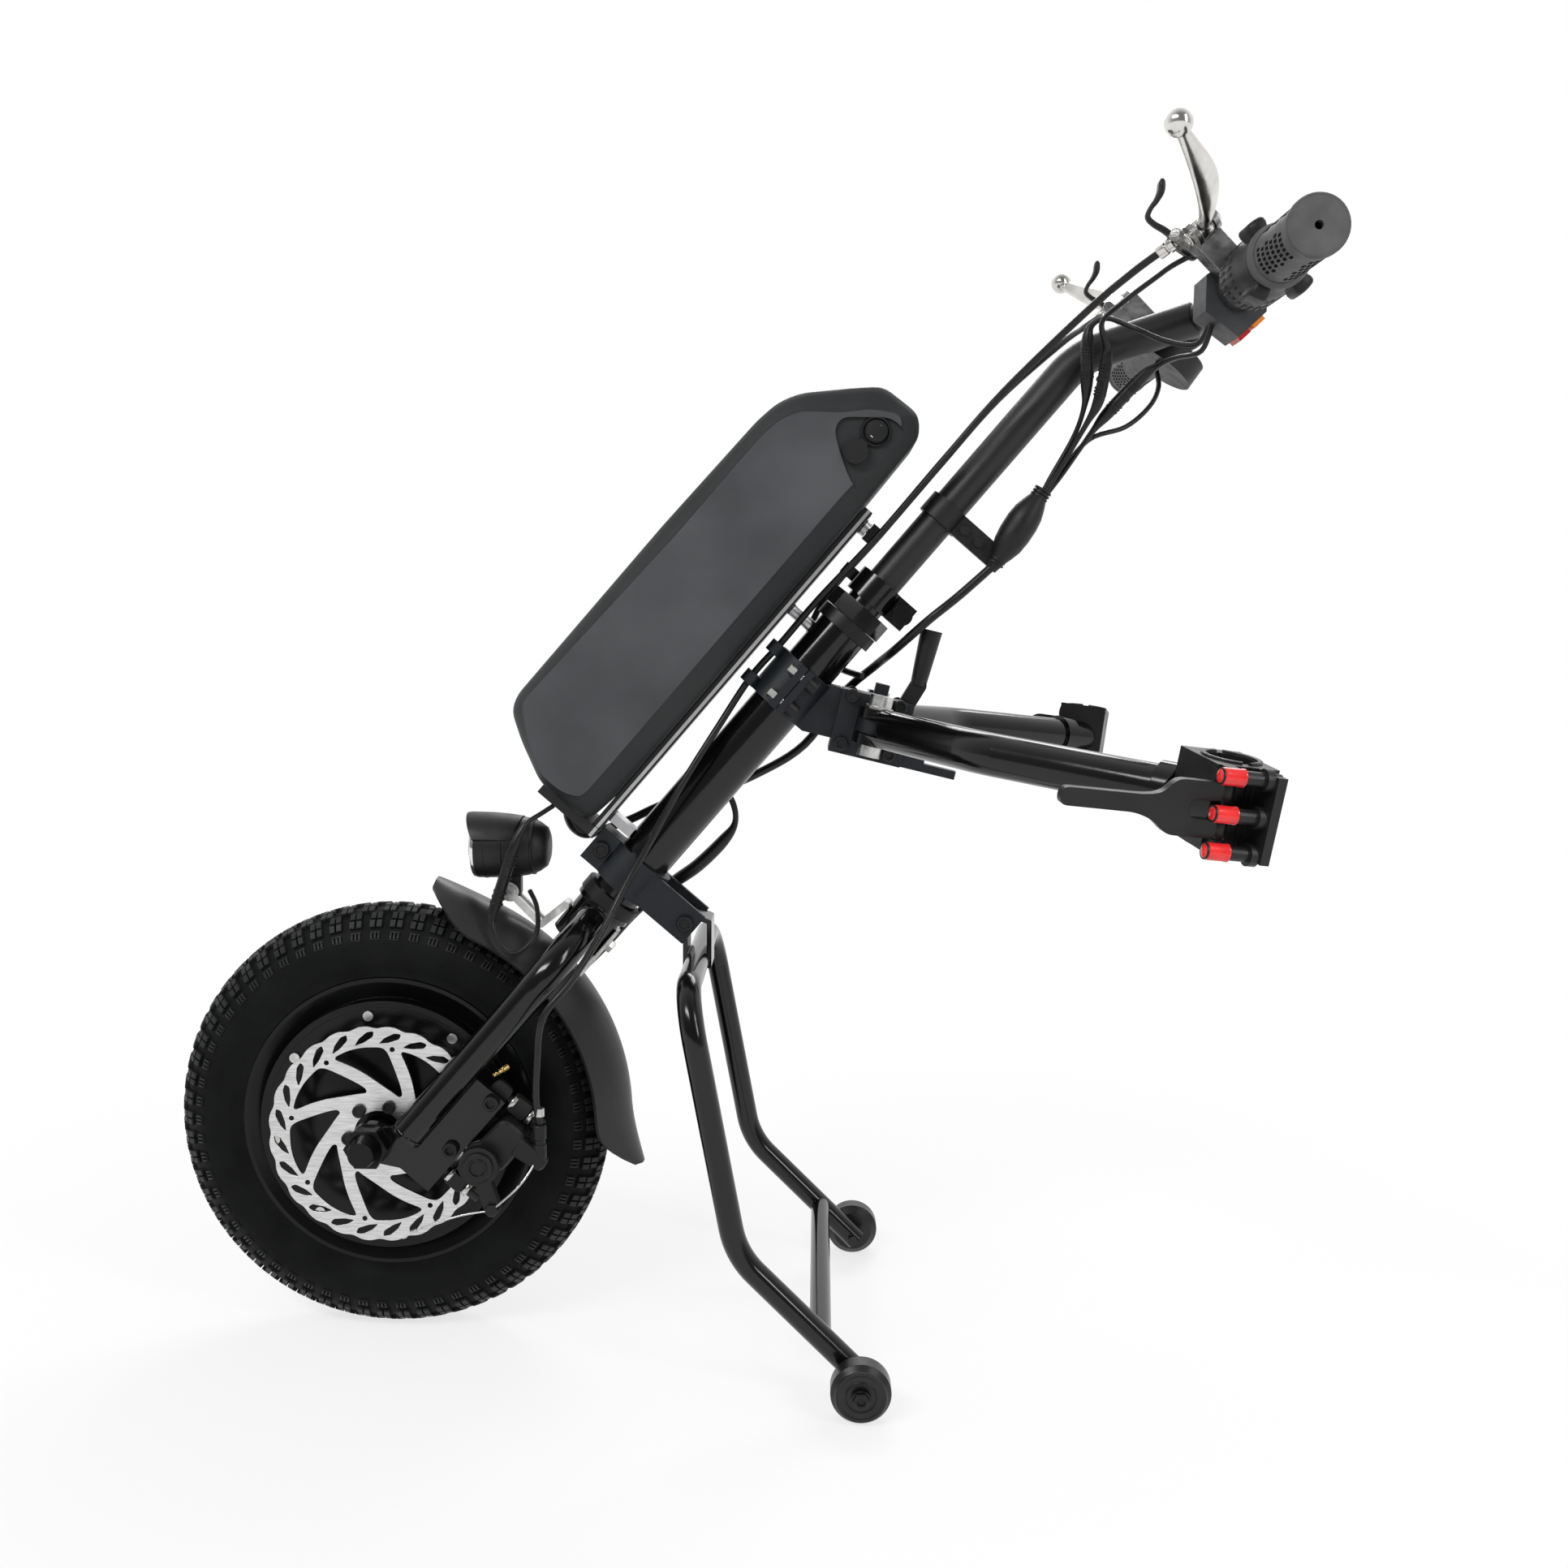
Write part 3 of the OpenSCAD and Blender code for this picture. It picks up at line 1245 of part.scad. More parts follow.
module frame_bolts() color("silver") {
  in_hitch() {
    both_sides() {
      translate([0, arm_y, 0]) arm_bolt();
      in = hitch_block_w / 2 + 2 * run_fit;
      out = in + hitch_plate_t;
      for (p = hitch_screw_places()) translate([p.x, 0, p.y]) {
        bar_y(hitch_screw_d, in, out);
        bar_y(hitch_screw_head_d, out, out + hitch_screw_head_h);
      }
    }
    pin_y = hitch_block_w / 2 - 2 * face_gap;
    translate([lock_x, 0, lock_z]) bar_y(lock_pin_d - 2 * run_fit, -pin_y, pin_y);
  }
  in_column() {
    y = head_od / 2 + hitch_flange_out / 2 + hitch_ring_t / 2;
    for (side = [-1, 1], up = [-1, 1])
      translate([0, side * y, hitch_clamp_s + hitch_clamp_h / 2 + up * hitch_bolt_pitch / 2])
      rotate([0, 90, 0]) {
        translate([0, 0, -hitch_flange_t]) cylinder(d = hitch_bolt_d, h = 2 * hitch_flange_t);
        for (m = [0, 1]) mirror([0, 0, m]) translate([0, 0, hitch_flange_t])
          cylinder(d = hitch_bolt_head_d, h = hitch_bolt_head_h, $fn = 6);
      }
    out = stand_plate_y + stand_plate_t + run_fit;
    translate([stand_pivot_n, 0, stand_pivot_s]) {
      bar_y(stand_pivot_d, -out, out);
      both_sides() bar_y(stand_lug_bolt_d, out, out + stand_lug_bolt_h);
    }
    translate([-head_od / 2 - stand_lug_len / 2, 0, stand_pivot_s]) both_sides()
      bar_y(stand_lug_bolt_d, stand_lug_w / 2 + run_fit, stand_lug_w / 2 + stand_lug_bolt_h);
  }
}

module battery_rail() color("silver") in_column() {
  top = -battery_n + face_gap;
  low = battery_s - face_gap;
  difference() {
    block([top, -rail_w / 2, low], [top + rail_t, rail_w / 2, low + rail_len]);
    block([top - over, -rail_w / 2 + rail_wall, low - over],
          [top + rail_t - rail_wall, rail_w / 2 - rail_wall, low + rail_len + over]);
  }
  block([top - foot_depth, -foot_w / 2, low - foot_t], [top + rail_t, foot_w / 2, low]);
  strut = -head_od / 2 - run_fit;
  intersection() {
    translate([top + rail_t - rail_wall, 0, head_s + strut_up]) rotate([0, 90, 0])
      cylinder(d = strut_d, h = battery_n);
    block([top, -strut_d, head_s], [strut, strut_d, head_top]);
  }
  block([top + rail_t - rail_wall, -strap_w / 2, head_s + strap_up],
        [strut, strap_w / 2, head_s + strap_up + strap_t]);
  translate([top + rail_t - rail_wall, key_y, key_s]) rotate([0, 90, 0]) difference() {
    cylinder(d = key_lock_d, h = key_lock_h + rail_wall);
    translate([0, 0, rail_wall]) cylinder(d = key_stem_d + 2 * run_fit, h = key_lock_h + over);
  }
}

module battery_key() color("#151515") in_column()
  translate([-battery_n + face_gap + rail_t + key_lock_h, key_y, key_s]) rotate([0, 90, 0]) {
    translate([0, 0, face_gap - key_lock_h]) cylinder(d = key_stem_d, h = key_lock_h + face_gap);
    translate([-key_head_w / 2, -key_head_t / 2, face_gap]) cube([key_head_w, key_head_t, key_head_h]);
  }

// Battery

module battery_outline() polygon([for (p = battery_shares)
  [-battery_n - p.x * battery_t, battery_s + p.y * battery_len]]);

module battery_shell() hull() {
  slab_y(battery_edge - battery_w / 2, battery_w / 2 - battery_edge) battery_outline();
  slab_y(-battery_w / 2, battery_w / 2) offset(delta = -battery_bevel) battery_outline();
}

module battery_space(gap, low) {
  in = cell_side_share * battery_t + gap;
  y = battery_w / 2 - battery_wall - gap;
  block([in - battery_n - battery_t, -y, battery_s + cell_low_share * battery_len + low],
        [-battery_n - in, y, battery_s + cell_high_share * battery_len - gap]);
}

rocker_n = -battery_n - rocker_n_share * battery_t;
rocker_s = battery_s + rocker_up_share * battery_len;
port_n = -battery_n - port_n_share * battery_t;
port_s = battery_s + port_up_share * battery_len;

module rocker_pin(d) translate([rocker_n, -battery_w / 2 + rocker_t / 2 - rocker_out / 2, rocker_s])
  rotate([0, 90, 0]) cylinder(d = d, h = rocker_d + 2 * rocker_tip, center = true);

module battery_case() color("#303234") in_column() {
  difference() {
    battery_shell();
    battery_space(0, 0);
    translate([rocker_n, 0, rocker_s]) bar_y(rocker_d + 2 * rocker_rim, -battery_w,
      -battery_w / 2 + rocker_t + rocker_tip);
    translate([port_n, 0, port_s]) bar_y(port_d, -battery_w, -battery_w / 2 + 2 * rocker_t);
  }
  rocker_pin(rocker_pin_d);
}

module battery_cells() color("#2f6fb0") in_column() battery_space(cell_gap, run_fit);

module rocker_switch() color("#101010") in_column() difference() {
  translate([rocker_n, 0, rocker_s]) bar_y(rocker_d, -battery_w / 2 - rocker_out, -battery_w / 2 + rocker_t);
  rocker_pin(rocker_pin_d + 2 * run_fit);
}

module charge_cap() color("#1a1a1a") in_column() translate([port_n, 0, port_s]) {
  y = -battery_w / 2 - face_gap;
  bar_y(port_cap_d, y - port_cap_t, y);
  translate([0, y - port_cap_t / 2, port_cap_d / 2]) rotate([0, 90, 0])
    cylinder(d = port_knuckle_d, h = port_knuckle_len, center = true);
}

// Stem and handlebar

module past_bend() translate([stem_bend_r, 0, bend_s]) rotate([0, bend_turn, 0])
  translate([-stem_bend_r, 0, 0]) children();

module stem_tube() color("#141414") {
  bore = stem_od - 2 * stem_wall;
  low = steerer_top - stem_in;
  in_column() {
    translate([0, 0, low]) pipe(stem_od, bore, bend_s - low);
    translate([stem_bend_r, 0, bend_s]) rotate([90, 0, 0]) rotate(180 - bend_turn)
      bend(stem_bend_r, bend_turn, stem_od, bore);
  }
  difference() {
    in_column() past_bend() pipe(stem_od, bore, stem_reach - bar_d / 4);
    at_bar() cylinder(d = bar_d + 2 * run_fit, h = 2 * stem_od, center = true);
  }
}

module handlebar() color("#141414") at_bar() difference() {
  cylinder(d = bar_d, h = bar_len - 2 * bar_end_t, center = true);
  cylinder(d = bar_d - 2 * bar_wall, h = bar_len, center = true);
}

module grip(len) difference() {
  translate([0, 0, bar_half - len]) cylinder(d = grip_d, h = len);
  translate([0, 0, bar_half - len - over])
    cylinder(d = bar_d + run_fit, h = len + over - bar_end_t + run_fit);
  translate([0, 0, bar_half - 2 * bar_end_t]) cylinder(d = bar_end_hole, h = 3 * bar_end_t);
}

module grips() color("#3a3a3a") at_bar() {
  grip(grip_len);
  mirror([0, 0, 1]) grip(grip_len + throttle_len);
}

module throttle_sleeve() color("#262626") at_bar() difference() {
  union() {
    translate([0, 0, throttle_in]) cylinder(d = throttle_d, h = throttle_len);
    for (a = throttle_tab_turns) rotate(a)
      translate([bar_d / 2 + over, -throttle_tab_w / 2, throttle_out - throttle_tab_len])
        cube([throttle_d / 2 + throttle_tab_h - bar_d / 2 - over, throttle_tab_w, throttle_tab_len]);
  }
  translate([0, 0, throttle_in - over]) cylinder(d = bar_d + 2 * run_fit, h = throttle_len + 2 * over);
}

module lever_body() {
  mid_y = lever_y + lever_clamp_w / 2;
  pivot_y = lever_y + lever_clamp_w + lever_pivot_out;
  root = lever_root_t / 2 + face_gap;
  difference() {
    union() {
      translate([0, mid_y, 0]) bar_y(bar_d + 2 * lever_clamp_wall, -lever_clamp_w / 2, lever_clamp_w / 2);
      translate([0, 0, -lever_body_t / 2]) linear_extrude(lever_body_t) {
        translate([0, lever_y]) square([lever_pivot_r, lever_clamp_w]);
        translate([lever_pivot_r, pivot_y]) circle(r = lever_ear_r);
      }
    }
    translate([0, mid_y, 0]) bar_y(bar_d, -lever_clamp_w, lever_clamp_w);
    translate([lever_pivot_r - lever_ear_r, pivot_y - lever_ear_r - over, -root])
      cube([4 * lever_ear_r, 4 * lever_ear_r, 2 * root]);
  }
  translate([lever_pivot_r, pivot_y, 0]) cylinder(d = lever_pivot_d, h = lever_body_t, center = true);
  for (y = [lever_y, lever_y + latch_w + latch_lug + 2 * face_gap]) translate([0, y, 0])
    slab_y(0, latch_lug) difference() {
      link([lever_pivot_r - lever_ear_r, latch_t / 2 + latch_lug], [latch_r, latch_t], latch_hub_d);
      translate([latch_r, latch_t]) circle(d = latch_pin_d);
      translate([0, -lever_body_t]) square([2 * latch_r, lever_body_t + lever_body_t / 2]);
    }
  translate([latch_r, lever_y, latch_t])
    bar_y(latch_pin_d - run_fit, 0, latch_w + 2 * latch_lug + 2 * face_gap);
}

module lever_bodies() color("#202020") in_lever() both_sides() lever_body();

module lever() {
  pivot = [lever_pivot_r, lever_y + lever_clamp_w + lever_pivot_out];
  mid = pivot + [lever_mid_rise_share * lever_rise, lever_mid_len_share * lever_len];
  tip = pivot + [lever_rise, lever_len];
  difference() {
    union() {
      translate([0, 0, -lever_t / 2]) linear_extrude(lever_t) {
        link(pivot, mid, lever_w);
        link(mid, tip, lever_w);
      }
      translate([tip.x, tip.y, 0]) sphere(d = lever_ball_d);
      translate([pivot.x, pivot.y, 0])
        cylinder(d = lever_w + lever_pivot_d / 2, h = lever_root_t, center = true);
    }
    translate([pivot.x, pivot.y, 0])
      cylinder(d = lever_pivot_d + 2 * run_fit, h = 2 * lever_root_t, center = true);
  }
}

module left_lever() color("silver") in_lever() left_side() lever();
module right_lever() color("silver") in_lever() lever();

module park_latch() translate([latch_r, lever_y + latch_lug + face_gap, latch_t])
  slab_y(0, latch_w) difference() {
  union() {
    circle(d = latch_hub_d);
    link([0, 0], [latch_reach, latch_bar], latch_bar);
    link([latch_reach, latch_bar], [latch_reach + latch_bar, latch_bar - latch_tip], latch_bar);
  }
  circle(d = latch_pin_d + 2 * run_fit);
}

module left_park_latch() color("#181818") in_lever() left_side() park_latch();
module right_park_latch() color("#181818") in_lever() park_latch();

// The switch box hangs below the bar, with its buttons on a slanted face
switch_corner = [switch_rear, -switch_round_share * switch_drop];
switch_low = [0, -switch_drop];
switch_face = switch_corner - switch_low;
switch_face_turn = atan2(switch_face.y, switch_face.x);

module on_switch_face(along) at_bar() translate([switch_low.x, switch_low.y, switch_y + switch_w / 2])
  rotate(switch_face_turn) translate([norm(switch_face) / 2 + along, 0, 0]) children();

module switch_box() color("#4a4c4f") difference() {
  at_bar() translate([0, 0, switch_y]) linear_extrude(switch_w) difference() {
    polygon([[-switch_front, switch_round_share * switch_top],
             [-switch_front, -switch_round_share * switch_drop], switch_low, switch_corner,
             [switch_rear, switch_round_share * switch_top], [switch_round_share * switch_rear, switch_top],
             [-switch_round_share * switch_front, switch_top]]);
    circle(d = bar_d);
  }
  for (m = [-1, 1]) on_switch_face(m * button_pitch / 2)
    switch_button(2 * face_gap, button_out + over, button_t + button_travel);
}

module switch_button(grow, out, depth) translate([-(button_h + grow) / 2, -out, -(button_w + grow) / 2])
  cube([button_h + grow, out + depth, button_w + grow]);

module light_button() color("orange") on_switch_face(button_pitch / 2)
  switch_button(0, button_out, button_t - face_gap);

module horn_button() color("red") on_switch_face(-button_pitch / 2)
  switch_button(0, button_out, button_t - face_gap);

module display() color("#2a2a2a") {
  difference() {
    union() {
      at_bar() translate([0, 0, -display_y - display_clamp_w / 2])
        cylinder(d = bar_d + 2 * lever_clamp_wall, h = display_clamp_w);
      translate([bar_x, display_y, bar_z]) slab_y(-display_clamp_w / 2, display_clamp_w / 2)
        link([0, 0], [display_x, display_z], display_arm);
    }
    at_bar() translate([0, 0, -2 * display_y]) cylinder(d = bar_d, h = 2 * display_y);
  }
  translate([bar_x + display_x, display_y, bar_z + display_z]) rotate([0, display_turn, 0])
    translate([0, 0, -display_t]) cylinder(d = display_d, h = display_t);
}

module cable_hub() color("#1c1c1c") in_column() {
  s = steerer_top + band_up;
  translate([0, 0, s]) difference() {
    union() {
      cylinder(d = stem_od + 2 * band_t, h = band_h);
      block([0, band_lug_y - band_lug_w, 0], [hub_n, band_lug_y, band_h]);
    }
    translate([0, 0, -over]) cylinder(d = stem_od, h = band_h + 2 * over);
  }
  screw_n = stem_od / 2 + band_t + band_screw_d / 2;
  for (k = [0, 1]) translate([screw_n + k * band_screw_pitch, 0, s + band_h / 2])
    bar_y(band_screw_d, band_lug_y - band_lug_w - band_screw_h, band_lug_y - band_lug_w - run_fit);
  translate([hub_n, hub_y, s + band_h / 2 + hub_up]) rotate([0, hub_lean, 0]) rotate_extrude() polygon([
    [0, -hub_len / 3], [hub_neck_d / 2, -hub_len / 3], [hub_d / 2, 0], [hub_d / 2, hub_len / 3],
    [hub_neck_d / 2, 2 * hub_len / 3], [0, 2 * hub_len / 3]]);
}

// Cables

module cockpit_leads() color("#151515") {
  cable(throttle_route, lead_r);
  cable(brake_lead_route, lead_r);
  cable(display_route, lead_r);
  cable(switch_route, lead_r);
}

module column_cables() color("#151515") {
  cable(release_route, housing_r);
  cable(control_route, control_r);
}

module lower_cables() color("#151515") {
  cable(lamp_route, lead_r);
  cable(motor_route, motor_r);
}

module brake_cable() color("#151515") cable(brake_route, housing_r);

// Hitch arms and tube clamps

module lock_lever() color("#26282a") in_hitch() translate([lock_x, 0, lock_z]) {
  top = [lock_lean, lock_up];
  slab_y(-lock_t / 2, lock_t / 2) difference() {
    link([0, 0], top, lock_w);
    circle(d = lock_pin_d + 2 * run_fit);
  }
  translate([top.x, 0, top.y])
    cylinder(d1 = lock_handle_root_d, d2 = lock_handle_tip_d, h = lock_handle_len + lock_w / 2);
}

module past_arm_bend() {
  turn = arm_root_turn - arm_end_turn;
  rotate(arm_root_turn) translate([arm_root_len - arm_tangent, -arm_bend_r, 0]) rotate(-turn)
    translate([0, arm_bend_r, 0]) rotate([0, 90, 0]) children();
}

module arm_root() {
  flat = arm_d / 2 - arm_flat;
  bore_from = arm_slot_r + arm_collar_len;
  difference() {
    union() {
      rotate([0, -arm_rise, 0]) rotate(arm_root_turn) rotate([0, 90, 0])
        cylinder(d = arm_d, h = arm_root_len - arm_tangent);
      translate([0, 0, -flat]) cylinder(d = arm_d, h = 2 * flat);
    }
    rotate([0, -arm_rise, 0]) rotate(arm_root_turn) translate([bore_from, 0, 0]) rotate([0, 90, 0])
      cylinder(d = arm_d - 2 * arm_wall, h = arm_root_len);
    translate([0, 0, -tongue_t / 2 - face_gap]) cylinder(r = arm_slot_r, h = tongue_t + 2 * face_gap);
    translate([0, 0, -arm_d]) cylinder(d = arm_bolt_d + 2 * run_fit, h = 2 * arm_d);
    for (m = [0, 1]) mirror([0, 0, m]) translate([0, 0, flat])
      cylinder(r = arm_d / 2 + face_gap, h = arm_d);
  }
}

module arm() {
  bore = arm_d - 2 * arm_wall;
  turn = arm_root_turn - arm_end_turn;
  in_hitch() translate([0, arm_y, 0]) {
    arm_root();
    rotate([0, -arm_rise, 0]) rotate(arm_root_turn) translate([arm_root_len - arm_tangent, -arm_bend_r, 0])
      rotate(90 - turn) bend(arm_bend_r, turn, arm_d, bore);
  }
  difference() {
    in_hitch() translate([0, arm_y, 0]) rotate([0, -arm_rise, 0]) past_arm_bend() {
      pipe(arm_d, bore, arm_end_len - arm_tangent + arm_d);
      translate([0, 0, arm_end_len - arm_tangent - arm_collar_len])
        pipe(arm_d + 2 * arm_collar_t, bore, arm_collar_len);
    }
    in_clamp() block([-2 * clamp_h, -block_in - block_foot - run_fit, -2 * clamp_h],
                     2 * [clamp_h, clamp_h, clamp_h]);
  }
}

module clamp_bore_cut() translate([0, 0, -clamp_h]) cylinder(d = clamp_bore, h = 2 * clamp_h);

module clamp_block() in_clamp() {
  half = clamp_h / 2;
  lug = tie_pitch / 2 + handle_finger_h / 2 + face_gap;
  difference() {
    union() {
      block([-block_front, -block_in - block_foot, -half], [-jaw_gap / 2, block_out, half]);
      block([-block_front, -block_in - block_foot, -half], [jaw_depth, -block_in - face_gap, half]);
      for (m = [0, 1]) mirror([0, 0, m]) translate([handle_pin_x, handle_pin_y, lug]) {
        cylinder(r = handle_lug_r, h = half - lug);
        block([-handle_lug_r, block_out - handle_pin_y - over, 0], [handle_lug_r, 0, half - lug]);
      }
    }
    clamp_bore_cut();
    translate([handle_pin_x, handle_pin_y, -clamp_h]) cylinder(d = handle_pin_d, h = 2 * clamp_h);
  }
  translate([handle_pin_x, handle_pin_y, -half]) cylinder(d = handle_pin_d - 2 * run_fit, h = clamp_h);
}

module clamp_jaw() in_clamp() {
  half = clamp_h / 2;
  difference() {
    union() {
      block([jaw_gap / 2, -block_in, -half], [jaw_depth, block_out, half]);
      block([ear_x, 0, -half], [ear_x + ear_t, block_out + ear_out, half]);
    }
    clamp_bore_cut();
    for (k = [-1, 0, 1]) translate([-over, tie_y, k * tie_pitch]) rotate([0, 90, 0])
      cylinder(d = tie_d + 2 * run_fit, h = jaw_depth + over);
  }
  for (k = [-1, 0, 1]) translate([ear_x + ear_t, tie_y, k * tie_pitch]) rotate([0, -90, 0]) {
    cylinder(d = tie_d, h = ear_x + ear_t + tie_front);
    translate([0, 0, ear_t + run_fit]) pipe(tie_nut_d, tie_d, tie_nut_h);
    translate([0, 0, ear_x + ear_t + tie_front + run_fit]) cylinder(d = tie_cap_d, h = tie_cap_len);
  }
}

module handle_outline() {
  wide = tie_pitch + handle_finger_h;
  wide_x = handle_wide_x - handle_wide_len;
  translate([wide_x, -wide / 2]) square([handle_wide_len, wide]);
  translate([handle_tip_x, -handle_bar_h / 2]) square([wide_x - handle_tip_x, handle_bar_h]);
  translate([handle_tip_x, 0]) circle(d = handle_bar_h);
  for (m = [-1, 1]) translate([handle_wide_x, m * tie_pitch / 2 - handle_finger_h / 2])
    square([handle_pin_x - handle_wide_x, handle_finger_h]);
}

module clamp_handle() in_clamp() difference() {
  union() {
    slab_y(handle_y, handle_y + handle_t) handle_outline();
    for (m = [-1, 1]) translate([handle_pin_x, handle_pin_y, m * tie_pitch / 2 - handle_finger_h / 2])
      cylinder(r = handle_lug_r, h = handle_finger_h);
  }
  translate([handle_pin_x, handle_pin_y, -clamp_h])
    cylinder(d = handle_pin_d + 2 * run_fit, h = 2 * clamp_h);
}

module left_arm() color("black") left_side() arm();
module right_arm() color("black") arm();
module left_clamp_block() color("#1b1b1b") left_side() clamp_block();
module right_clamp_block() color("#1b1b1b") clamp_block();
module left_clamp_jaw() color("#1b1b1b") left_side() clamp_jaw();
module right_clamp_jaw() color("#1b1b1b") clamp_jaw();
module left_clamp_handle() color("#222222") left_side() clamp_handle();
module right_clamp_handle() color("#222222") clamp_handle();

// Stand

module stand_leg() {
  y = stand_gap / 2;
  translate([top_bar_x, 0, top_bar_z]) rotate([0, -stand_upper_tilt, 0]) {
    translate([0, y - stand_top_r, -stand_top_r]) rotate([90, 0, 90]) bend(stand_top_r, 90, stand_d);
    translate([0, y, knee_tangent - stand_upper_len])
      cylinder(d = stand_d, h = stand_upper_len - knee_tangent - stand_top_r);
    translate([stand_knee_r, y, knee_tangent - stand_upper_len]) rotate([90, 0, 0]) rotate(180)
      bend(stand_knee_r, knee_turn, stand_d);
  }
  translate([caster_x, y, caster_d / 2]) rotate([0, -stand_lower_tilt, 0])
    translate([0, 0, -stand_d / 4]) cylinder(d = stand_d, h = stand_lower_len - knee_tangent + stand_d / 4);
  translate([caster_x, 0, caster_d / 2]) {
    out = caster_y + caster_w;
    bar_y(caster_bolt_d, y - stand_d / 2 - caster_bolt_head_h, out + caster_bolt_head_h / 2);
    bar_y(caster_bolt_head_d, out + face_gap, out + caster_bolt_head_h);
  }
}

module stand_yoke() {
  w = stand_yoke_w / 2;
  hub_r = stand_hub_d / 2;
  bar_r = stand_d / 2;
  rear = top_bar_x + bar_r;
  difference() {
    slab_y(-w, w) {
      translate([pivot_x, pivot_z]) circle(r = hub_r);
      link([pivot_x, pivot_z + hub_r - stand_yoke_t / 2], [rear, pivot_z], stand_yoke_t);
      link([rear, pivot_z], [rear, top_bar_z - bar_r / 2], stand_yoke_t);
      link([pivot_x, pivot_z], [pivot_x, top_bar_z - bar_r / 2], stand_yoke_t);
      link([pivot_x, top_bar_z], [rear, top_bar_z], stand_yoke_t);
    }
    translate([pivot_x, 0, pivot_z]) bar_y(stand_pivot_d + 2 * run_fit, -2 * w, 2 * w);
  }
}

module stand_frame() color("black") {
  both_sides() stand_leg();
  stand_yoke();
  translate([top_bar_x, 0, top_bar_z])
    bar_y(stand_d, stand_top_r - stand_gap / 2 + seam, stand_gap / 2 - stand_top_r - seam);
  along = stand_cross_share * stand_lower_len;
  translate([knee_x + along * sin(stand_lower_tilt), 0, knee_z - along * cos(stand_lower_tilt)])
    bar_y(stand_cross_d, -stand_gap / 2, stand_gap / 2);
}

module caster() translate([caster_x, caster_y, caster_d / 2]) rotate([-90, 0, 0]) {
  r = caster_d / 2;
  rotate_extrude() polygon([[caster_bolt_d / 2 + run_fit, 0], [r - caster_round, 0], [r, caster_round],
    [r, caster_w - caster_round], [r - caster_round, caster_w], [caster_bolt_d / 2 + run_fit, caster_w]]);
}

module left_caster() color("#1a1a1a") left_side() caster();
module right_caster() color("#1a1a1a") caster();

head_tube();
headset_cups();
stand_bracket();
hitch_bracket();
hitch_plates();
frame_bolts();
battery_rail();
column_cables();
lower_cables();
steerer();
fork_legs();
dropouts();
height_clamp();
fender();
lamp_bracket();
axle();
stator();
caliper();
brake_cable();
quick_lever();
headlight();
headlight_lens();
caliper_arm();
tyre();
rim();
motor_covers();
wheel_screws();
brake_disc();
stem_tube();
handlebar();
grips();
switch_box();
display();
cable_hub();
cockpit_leads();
lever_bodies();
throttle_sleeve();
light_button();
horn_button();
left_lever();
right_lever();
left_park_latch();
right_park_latch();
battery_case();
battery_cells();
rocker_switch();
charge_cap();
battery_key();
lock_lever();
left_arm();
left_clamp_block();
left_clamp_jaw();
left_clamp_handle();
right_arm();
right_clamp_block();
right_clamp_jaw();
right_clamp_handle();
stand_frame();
left_caster();
right_caster();
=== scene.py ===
from math import atan2, copysign, cos, degrees, hypot, pi, radians, sin

import bmesh
import bpy
import numpy as np
from mathutils import Matrix, Vector
from mathutils.geometry import tessellate_polygon


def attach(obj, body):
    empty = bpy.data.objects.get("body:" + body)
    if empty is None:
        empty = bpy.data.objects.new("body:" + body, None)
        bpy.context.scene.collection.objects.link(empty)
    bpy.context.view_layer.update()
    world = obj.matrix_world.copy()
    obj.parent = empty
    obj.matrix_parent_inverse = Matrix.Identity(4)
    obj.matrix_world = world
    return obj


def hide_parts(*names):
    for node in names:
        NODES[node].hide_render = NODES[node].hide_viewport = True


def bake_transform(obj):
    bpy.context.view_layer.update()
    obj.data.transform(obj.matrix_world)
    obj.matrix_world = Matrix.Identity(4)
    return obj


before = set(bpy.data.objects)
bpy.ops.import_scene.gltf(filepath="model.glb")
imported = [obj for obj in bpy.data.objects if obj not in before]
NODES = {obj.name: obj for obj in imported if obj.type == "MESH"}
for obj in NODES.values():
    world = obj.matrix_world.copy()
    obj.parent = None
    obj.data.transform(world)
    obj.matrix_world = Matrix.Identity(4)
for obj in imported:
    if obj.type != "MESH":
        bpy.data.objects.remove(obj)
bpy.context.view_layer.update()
LINK = bpy.context.scene.collection.objects.link


def vec(x, y, z):
    return np.array((x, y, z), float)


# Places and directions shared with the solids, in metres
MM = 0.001
WHEEL = vec(-0.222126, 0, 0.161)
AXIS = vec(-0.210322, 0, 0.150954)
BAR = vec(0.359454, 0, 0.749102)
LAMP_AT = vec(-0.1424, 0, 0.365)
LEVER_ROOT = vec(0.328342, 0.1266, 0.780214)
HITCH = Vector((0.132273, 0, 0.458303))
HITCH_TURN = Matrix.Rotation(radians(13), 3, "Y")
TILT = radians(40.4)
N_DIR, S_DIR = vec(cos(TILT), 0, -sin(TILT)), vec(sin(TILT), 0, cos(TILT))
NEAR, FORWARD = (0, -1, 0), (-1, 0, 0)
SIDES = (("left", -1), ("right", 1))
# A direction that no part of the object follows
ASIDE = vec(0.31, 0.93, 0.2)


def col(n, y, s):
    """A place in the column's frame: across it, sideways and along it."""
    return AXIS + n * N_DIR + s * S_DIR + vec(0, y, 0)


def flat(outline, y):
    """An outline across and along the column, set at a place along Y, in millimetres."""
    return [col(n / 1000, y / 1000, s / 1000) for n, s in outline]


